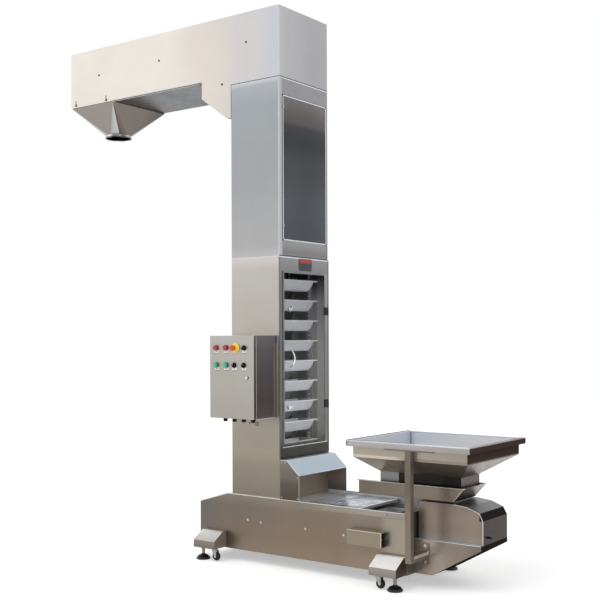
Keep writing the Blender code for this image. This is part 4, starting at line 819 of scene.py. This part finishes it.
NEAR = (COLUMN_FACE - 0.0045, FRONT + 0.0045)
beads("column_fold", fold_highlight, 0.0054,
      [(*NEAR, 1.886), (*NEAR, 2.965)], [(*NEAR, 2.971), (*NEAR, 3.397)])
# Painted shade along the column's lower corner
beads("column_fold_low", plastic("fold_shade_grey", (96, 98, 98), 0.5), 0.0052,
      [(*NEAR, 0.655), (*NEAR, 1.88)])


def on_right(low, high, *areas):
    """Boxes on the column's right face between two depths, from areas (y, z, y, z)."""
    return [((COLUMN_FACE + low, y, z), (COLUMN_FACE + high, far, top))
            for y, z, far, top in areas]


slabs("panel_edges", fold_highlight, *on_right(
    0.0021, 0.0026, (-0.22, 1.981, -0.2135, 2.862), (0.2295, 1.981, 0.236, 2.862),
    (-0.22, 1.981, 0.236, 1.9875), (-0.22, 2.8555, 0.236, 2.862)))
slabs("panel_shadows", painted_seam_shade, *on_right(
    0, 0.0006, (-0.2245, 1.977, -0.2203, 2.866), (-0.2245, 2.8623, 0.24, 2.866),
    (0.2363, 1.977, 0.24, 2.866)))
slabs("seam_shadows", painted_seam_shade,
      *on_right(0, 0.0006, (FRONT, 2.969, -FRONT, 2.973), (FRONT, 1.8845, -FRONT, 1.89)),
      ((-0.19, FRONT - 0.0005, 2.967), (COLUMN_FACE, FRONT, 2.971)),
      ((-0.1905, FRONT - 0.0005, 2.768), (-0.1875, FRONT, 2.968)))
slabs("seam_edges", fold_highlight,
      *on_right(0, 0.0006, (FRONT, 2.961, -FRONT, 2.967), (FRONT, 1.876, -FRONT, 1.8825)),
      ((-COLUMN_FACE, FRONT - 0.0004, 1.8805), (COLUMN_FACE, FRONT, 1.8845)),
      ((-COLUMN_FACE, FRONT - 0.0004, 0.4175), (COLUMN_FACE, FRONT, 0.4195)))
slabs("arm_lip", fold_highlight, ((-1.252, FRONT - 0.0004, 3.0205), (-0.434, FRONT, 3.0265)))
# Painted shadow in the arm's recess
slabs("arm_recess", painted_seam_shade, ((-0.487, -0.25, 3.0165), (-0.434, -0.17, 3.019)))
slabs("arm_shadow", shadow_teal, ((-1.252, FRONT, 3.015), (-0.434, FRONT + 0.0015, 3.0195)))
slabs("arm_return", arm_pale_reflection, ((-1.252, FRONT, 3.0115), (-0.434, FRONT + 0.0015, 3.0148)))
beads("base_folds", fold_warm_highlight, 0.0028,
      [(-0.23, FRONT + 0.0015, 0.415), (0.334, FRONT + 0.0015, 0.415)],
      [(-0.454, FRONT + 0.0015, 0.3485), (-0.23, FRONT + 0.0015, 0.415)],
      [(0.702, -0.302, 0.3005), (0.928, -0.302, 0.3005)],
      [(0.928, -0.302, 0.22), (0.928, -0.302, 0.3005), (0.928, -0.2545, 0.3005)])
beads("rail_top", fold_highlight, 0.0028, [(0.334, FRONT, 0.415), (1.058, FRONT, 0.415)],
      [(0.334, -FRONT - 0.002, 0.416), (1.058, -FRONT - 0.002, 0.416)])
beads("rail_foot", metal("fold_dim_highlight", (150, 141, 128), 0.34), 0.0022,
      [(0.334, FRONT - 0.0005, 0.382), (1.058, FRONT - 0.0005, 0.382)])
slabs("deck_shadow", painted_seam_shade, ((0.331, -0.2495, 0.4024), (0.56, -0.212, 0.403)))
slabs("lid_lip", fold_highlight, ((0.7155, -0.235, 0.388), (0.7185, 0.235, 0.4035)),
      ((0.702, -0.235, 0.4026), (0.7185, 0.235, 0.4035)))
beads("cheek_fold", fold_warm_highlight, 0.0018, [(0.328, -0.2522, 0.568), (0.328, -0.2522, 0.419)])
beads("hood_folds", fold_highlight, 0.0026,
      [(0.1895, -0.252, 0.6515), (0.2385, -0.252, 0.6515), (0.3275, -0.252, 0.568)],
      [(0.2385, -0.252, 0.6515), (0.2385, 0.252, 0.6515)],
      [(0.3275, -0.252, 0.567), (0.3275, 0.252, 0.567)],
      [(0.2385, 0.252, 0.6515), (0.3275, 0.252, 0.568)])
beads("feeder_folds", fold_highlight, 0.0028, [(1.068, -0.1622, 0.269), (1.47, -0.1622, 0.269)])
COVER = ((1.084, 0.272), (1.4745, 0.272), (1.4745, 0.401), (1.4535, 0.441), (1.38, 0.468),
         (1.3, 0.476))
beads("cover_folds", fold_highlight, 0.0021, [(x, -0.149, z) for x, z in COVER])
screws("cover_bolt", [at(1.4762, -0.085, 0.306)], 0.008, screw_dark, "X", 1)
made = bmesh.new()
add_rod(made, [at(1.4762, -0.085, 0.306), at(1.498, -0.085, 0.306)], 0.0045, 12)
finished("cover_stud", made, screw_dark)
beads("pan_folds", fold_warm_highlight, 0.0022,
      [(0.673, -0.1535, 0.564), (1.359, -0.1535, 0.564)],
      [(1.359, -0.1535, 0.564), (1.29, -0.129, 0.488)])
beads("rim_folds", fold_highlight, 0.003, [(0.732, -0.3485, 0.8115), (1.499, -0.3485, 0.8115)],
      [(0.7615, 0.319, 0.811), (1.469, 0.319, 0.811)])
# Painted reflection along the hopper rim's right end
beads("rim_end", metal("fold_rosy_reflection", (138, 126, 122), 0.34), 0.0022,
      [(1.4985, -0.3485, 0.811), (1.4985, 0.3485, 0.811)])
# Painted shade along the hopper's rim edges and inner corners
beads("rim_shade", plastic("fold_shade_teal", (84, 98, 104), 0.5), 0.0046,
      [(0.7335, -0.348, 0.786), (0.7335, -0.348, 0.8115), (0.7335, 0.348, 0.8115)])
beads("rim_corners", plastic("fold_shade_slate", (118, 118, 124), 0.5), 0.0018,
      [(0.7615, -0.319, 0.8125), (1.15, -0.319, 0.8125)],
      [(0.7612, 0.3188, 0.811), (0.7612, 0.3188, 0.735)])
slabs("door_edge", fold_highlight, ((0.1934, -0.231, 0.7235), (0.1937, 0.234, 0.727)),
      body="window_door")
slabs("cabinet_edges", fold_warm_highlight, ((0.1681, -0.259, 0.908), (0.1686, -0.2545, 1.402)),
      ((0.1681, -0.458, 0.908), (0.1684, -0.455, 1.402)),
      ((0.1681, -0.458, 0.9075), (0.1684, -0.2545, 0.9105)))

edge_grey = plastic("edge_grey", (118, 118, 116), 0.5)
slabs("frame_edge", edge_grey, ((0.178, 0.2535, 0.655), (0.1885, 0.2635, 1.883)))
# Painted reflection along the window stile's fold
slabs("window_fold", plastic("stile_fold_reflection", (136, 137, 138), 0.5),
      ((0.1868, -0.2165, 0.725), (0.1878, -0.206, 1.795)))
# A sheet across the open inlet behind the hood, painted in the tone of the shaded interior
slabs("hood_back_shade", plastic("hood_shade", (162, 148, 134), 0.5),
      ((0.1882, -0.249, 0.4028), (0.189, 0.249, 0.649)))
slabs("bare_sticker", plastic("sticker_pale", (132, 144, 172), 0.5, 0.2),
      ((0.168, FRONT - 0.0003, 1.356), (0.182, FRONT, 1.404)))

# Levelling feet's sleeves, nuts and boots, and the casters' axle caps
sleeve_metal = metal("sleeve_metal", (128, 122, 114), 0.25)
boot = plastic("boot", (22, 22, 24), 0.45)
axle_metal = metal("axle_metal", (196, 198, 202), 0.2)
for end, pad_x, wheel_x in (("left", -0.372, -0.259), ("right", 1.03, 0.941)):
    for side, flank in ((-1, "front"), (1, "rear")):
        corner = end + "_" + flank
        foot = at(pad_x, side * 0.32, 0)
        made = bmesh.new()
        add_turned(made, [(0, 0.024), (0.011, 0.024), (0.0095, 0.033), (0.0095, 0.064),
                          (0, 0.064)], foot, sides=20)
        add_prism(made, polygon(6, 0.0135), 0.064, 0.0745, foot)
        finished("foot_sleeve_" + corner, made, sleeve_metal)
        made = bmesh.new()
        add_turned(made, [(0, 0.0225), (0.034, 0.0225), (0.018, 0.029), (0.011, 0.035),
                          (0, 0.035)], foot, sides=28)
        finished("foot_boot_" + corner, made, boot)
        made = bmesh.new()
        for cheek in (-1, 1):
            place = at(wheel_x, side * 0.325 + cheek * 0.0138, 0.0305)
            turn = turn_to("Y", cheek)
            add_disc(made, 0.0072, 0.0012, place, turn, 20)
            add_prism(made, polygon(6, 0.0048), 0.0012, 0.0036, place, turn)
        finished("axle_caps_" + corner, made, axle_metal, "caster_" + corner)

# Chain links that show behind the window and in the trough
LINK_PITCH = BUCKET_PITCH / 5
LINK_RADIUS = 0.0068
LINK_WAIST = 0.0046


def link_outline():
    """Figure-of-eight side plate of a roller chain, along X."""
    points = []
    for end in (1, -1):
        for step in range(9):
            angle = math.radians(-80 + 20 * step) + (0 if end == 1 else math.pi)
            points.append((end * LINK_PITCH / 2 + LINK_RADIUS * math.cos(angle),
                           LINK_RADIUS * math.sin(angle)))
        points.append((0, end * LINK_WAIST))
    return points


# Painted highlights: the steel links are a light grey and the pins pure white, as glints on the
# chain
link_metal = plastic("chain_links", (168, 168, 170), 0.4)
glinting_pin = plastic("chain_pin_glints", 255, 0.3)


def chain_links(name, start, step, count):
    """Side plates and pins along a straight run of both chains."""
    made = bmesh.new()
    pins = bmesh.new()
    step = Vector(step)
    for side in (-1, 1):
        turn = turn_to("Y", -side)
        tilt = turn.inverted().to_3x3() @ step.normalized()
        spin = Matrix.Rotation(math.atan2(tilt.y, tilt.x), 4, 'Z')
        for index in range(count):
            place = at(start[0], side * CHAIN_INNER, start[2]) + step * index
            lift = 0.0004 if index % 2 else 0.0016
            add_prism(made, link_outline(), lift, lift + 0.0012, place + step * 0.5, turn @ spin)
            add_turned(pins, [(0, 0), (0.0044, 0), (0.0044, 0.0042), (0.0036, 0.005),
                              (0, 0.005)], place, turn, 12)
    finished(name, made, link_metal)
    finished(name + "_pins", pins, glinting_pin)


chain_links("chain_links_up", (CHAIN_RUN, 0, 0.6), (0, 0, LINK_PITCH), 52)
chain_links("chain_links_down", (-CHAIN_RUN, 0, 0.6), (0, 0, LINK_PITCH), 52)
chain_links("chain_links_trough", (0.22, 0, 0.345), (LINK_PITCH, 0, 0), 22)

# Controls on the cabinet door
label_white = plastic("label_white", (254, 254, 252), 0.5)
lens_red = plastic("lens_red", (184, 34, 44), 0.22, coat=0.6)
lens_green = plastic("lens_green", (60, 184, 140), 0.22, coat=0.6)
disc_yellow = plastic("disc_yellow", (255, 232, 78), 0.5)
mark_white = plastic("mark_white", (235, 235, 232), 0.5)
print_and_shadow_black = plastic("print_and_shadow_black", (40, 40, 42), 0.5)
DOOR = "cabinet_door"
LAMPS = (("lamp_power", -0.127, 1.33, lens_red), ("button_stop", -0.05, 1.33, lens_red),
         ("lamp_run", -0.126, 1.227, lens_green), ("button_start", -0.05, 1.227, lens_green))


def ring_profile(inner, outer, low, high, bevel):
    return [(inner, low), (inner, high - bevel), (inner + bevel, high), (outer - bevel, high),
            (outer, high - bevel), (outer, low), (inner, low)]


def lamp(name, x, z, lens):
    """Black bezel with a domed lens over the moulded body."""
    face = at(x, CABINET_FACE, z)
    made = bmesh.new()
    bezel = ring_profile(0.0146, 0.0168, 0.0003, 0.0044, 0.0008)
    add_turned(made, bezel, face, FACING_OUT, 32)
    finished(name + "_bezel", made, black, DOOR)
    made = bmesh.new()
    dome = [(0.0146, 0.004), (0.0152, 0.0045), (0.015, 0.015), (0.014, 0.0172),
            (0.011, 0.0188), (0.006, 0.0198), (0, 0.02)]
    add_turned(made, dome, face, FACING_OUT, 32)
    finished(name + "_lens", made, lens, DOOR)


def label(name, x, z):
    """A bright label with a short generic line of print and a painted shadow below it."""
    left, right = x - 0.016, x + 0.016
    foot, head = z - 0.008, z + 0.008
    made = bmesh.new()
    add_slab(made, at(left, CABINET_FACE - 0.0009, foot), at(right, CABINET_FACE - 0.0001, head),
             0.0003)
    finished(name, made, label_white, DOOR)
    made = bmesh.new()
    for start, end in ((-0.009, -0.003), (-0.001, 0.003), (0.005, 0.009)):
        add_slab(made, at(x + start, CABINET_FACE - 0.0012, z - 0.0014),
                 at(x + end, CABINET_FACE - 0.0008, z + 0.0014))
    # Painted shadow under the label
    add_slab(made, at(left, CABINET_FACE - 0.0008, foot - 0.0025),
             at(right + 0.002, CABINET_FACE - 0.0001, foot))
    finished(name + "_print_and_shadow", made, print_and_shadow_black, DOOR)


for name, x, z, lens in LAMPS:
    lamp(name, x, z, lens)
    label(name + "_label", x + 0.004, z - 0.0225)
for name, x, z in (("speed_label", 0.093, 1.3065), ("selector_left_label", 0.018, 1.2045),
                   ("selector_right_label", 0.091, 1.2045)):
    label(name, x, z)

made = bmesh.new()
stop_place = at(0.022, CABINET_FACE, 1.33)
add_turned(made, ring_profile(0.0152, 0.03, 0.0002, 0.0016, 0.0003), stop_place, FACING_OUT, 40)
add_turned(made, ring_profile(0.0146, 0.0156, 0.0002, 0.0145, 0.0003), stop_place, FACING_OUT, 32)
finished("stop_disc", made, disc_yellow, DOOR)

KNOBS = (("speed_mark", "speed_knob", 0.091, 1.33, 0.0223, 0.0125),
         ("selector_left_mark", "selector_left", 0.014, 1.227, 0.0163, 0.0135),
         ("selector_right_mark", "selector_right", 0.087, 1.227, 0.0163, 0.0135))
rings = bmesh.new()
for name, body, x, z, reach, radius in KNOBS:
    made = bmesh.new()
    low = at(x - 0.0009, CABINET_FACE - reach - 0.0006, z + 0.001)
    high = at(x + 0.0009, CABINET_FACE - reach + 0.0002, z + 0.0105)
    add_slab(made, low, high, 0.0002)
    finished(name, made, mark_white, body)
    add_turned(rings, ring_profile(radius + 0.0004, radius + 0.003, 0.0002, 0.004, 0.0008),
               at(x, CABINET_FACE, z), FACING_OUT, 32)
finished("switch_rings", rings, black, DOOR)

made = bmesh.new()
add_turned(made, [(0, 0), (0.0085, 0), (0.0085, 0.0008), (0.004, 0.001), (0.0036, 0.0002),
                  (0, 0.0002)], at(0.111, CABINET_FACE - 0.0061, 1.154), FACING_OUT, 24)
finished("cabinet_lock_face", made, chrome, DOOR)

# Cable glands under the cabinet
gland_nylon = plastic("gland_nylon", (16, 16, 17), 0.6, shine=0.15)
made = bmesh.new()
turn = turn_to("Z", -1)
for index in range(4):
    place = at(-0.117 + 0.072 * index, CABINET_FACE + 0.073, 0.9066)
    add_prism(made, polygon(6, 0.016), 0.0004, 0.007, place, turn)
    add_prism(made, polygon(6, 0.0152, 0.3), 0.0095, 0.017, place, turn)
    add_turned(made, [(0.0126, 0.0004), (0.0131, 0.0004), (0.0131, 0.0208), (0.01, 0.024),
                      (0, 0.024)], place, turn, 20)
finished("gland_nuts", made, gland_nylon)

# Bare nameplate above the window
PLATE_MIDDLE = 0.0095
PLATE_HALF = 0.0675
PLATE_FOOT = 1.8025
PLATE_TOP = 1.878


def plate_outline(inset, foot, head, rounding):
    """Plate seen from +X, as (across, height) points with rounded lower corners."""
    half = PLATE_HALF - inset
    points = [(half, head), (-half, head)]
    for side, start in ((-1, 180), (1, 270)):
        for step in range(6):
            angle = math.radians(start + 18 * step)
            points.append((side * (half - rounding) + rounding * math.cos(angle),
                           foot + rounding + rounding * math.sin(angle)))
    return points


def plate(name, points, low, high, material):
    made = bmesh.new()
    add_prism(made, points, low, high, at(COLUMN_FACE, PLATE_MIDDLE, 0), FACING_RIGHT)
    finished(name, made, material)


plate("nameplate", plate_outline(0.0, PLATE_FOOT, PLATE_TOP, 0.016), 0.0002, 0.0015,
      plastic("nameplate_black", (32, 40, 54), 0.3))
plate("nameplate_band", plate_outline(0.005, PLATE_TOP - 0.027, PLATE_TOP - 0.004, 0.002),
      0.0015, 0.0021, plastic("nameplate_red", (176, 44, 42), 0.35))


# Studio
def backdrop():
    """White to look at, and an even, dimmer light on the part."""
    world = bpy.data.worlds.new("studio")
    bpy.context.scene.world = world
    world.use_nodes = True
    nodes = Nodes(world.node_tree)
    sky = world.node_tree.nodes["Background"]
    sky.inputs["Color"].default_value = (1, 1, 1, 1)
    level = nodes.fit(nodes.seen_directly(), 0, 1, WORLD_LEVEL, 1.0)
    nodes.feed(sky.inputs["Strength"], level)


def pale_floor():
    ground = bpy.data.meshes.new("studio_floor")
    corners = ((-1, -1), (1, -1), (1, 1), (-1, 1))
    ground.from_pydata([(x * FLOOR_HALF, y * FLOOR_HALF, FLOOR_HEIGHT) for x, y in corners],
                       [], [(0, 1, 2, 3)])
    linked("studio_floor", ground)
    paint = Finish("studio_floor", roughness=0.9)
    paint.set("Base Color", (FLOOR_LEVEL, FLOOR_LEVEL, FLOOR_LEVEL, 1))
    paint.set("Specular IOR Level", 0.0)
    paint.set("Emission Color", (1, 1, 1, 1))
    paint.set("Emission Strength", paint.maths('MULTIPLY', paint.seen_directly(), FLOOR_LIFT))
    ground.materials.append(paint.material)


def soft_sun(name, place, level):
    """A wide, even light from far off that shines from the place to the machine's middle."""
    data = bpy.data.lights.new(name, 'SUN')
    data.energy = level
    data.angle = math.radians(SUN_SPREAD)
    item = linked(name, data)
    item.location = place
    item.rotation_euler = (-Vector(place)).to_track_quat('-Z', 'Y').to_euler()
    item.visible_glossy = False


backdrop()
pale_floor()
soft_sun("key", (-2.5, -5.0, 6.0), KEY_LEVEL)
soft_sun("fill", (5.5, -1.0, 4.5), FILL_LEVEL)

# Camera, level with the cabinet's top and looking across the front from the right
camera_data = bpy.data.cameras.new("camera")
camera_data.sensor_width = 36
camera_data.lens = CAMERA_LENS
camera_data.shift_y = CAMERA_SHIFT
camera_data.clip_end = 100
camera = linked("camera", camera_data)
camera.location = CAMERA_PLACE
camera.rotation_euler = [math.radians(angle) for angle in CAMERA_TURN]
bpy.context.scene.camera = camera
bpy.context.scene.view_settings.view_transform = 'Standard'
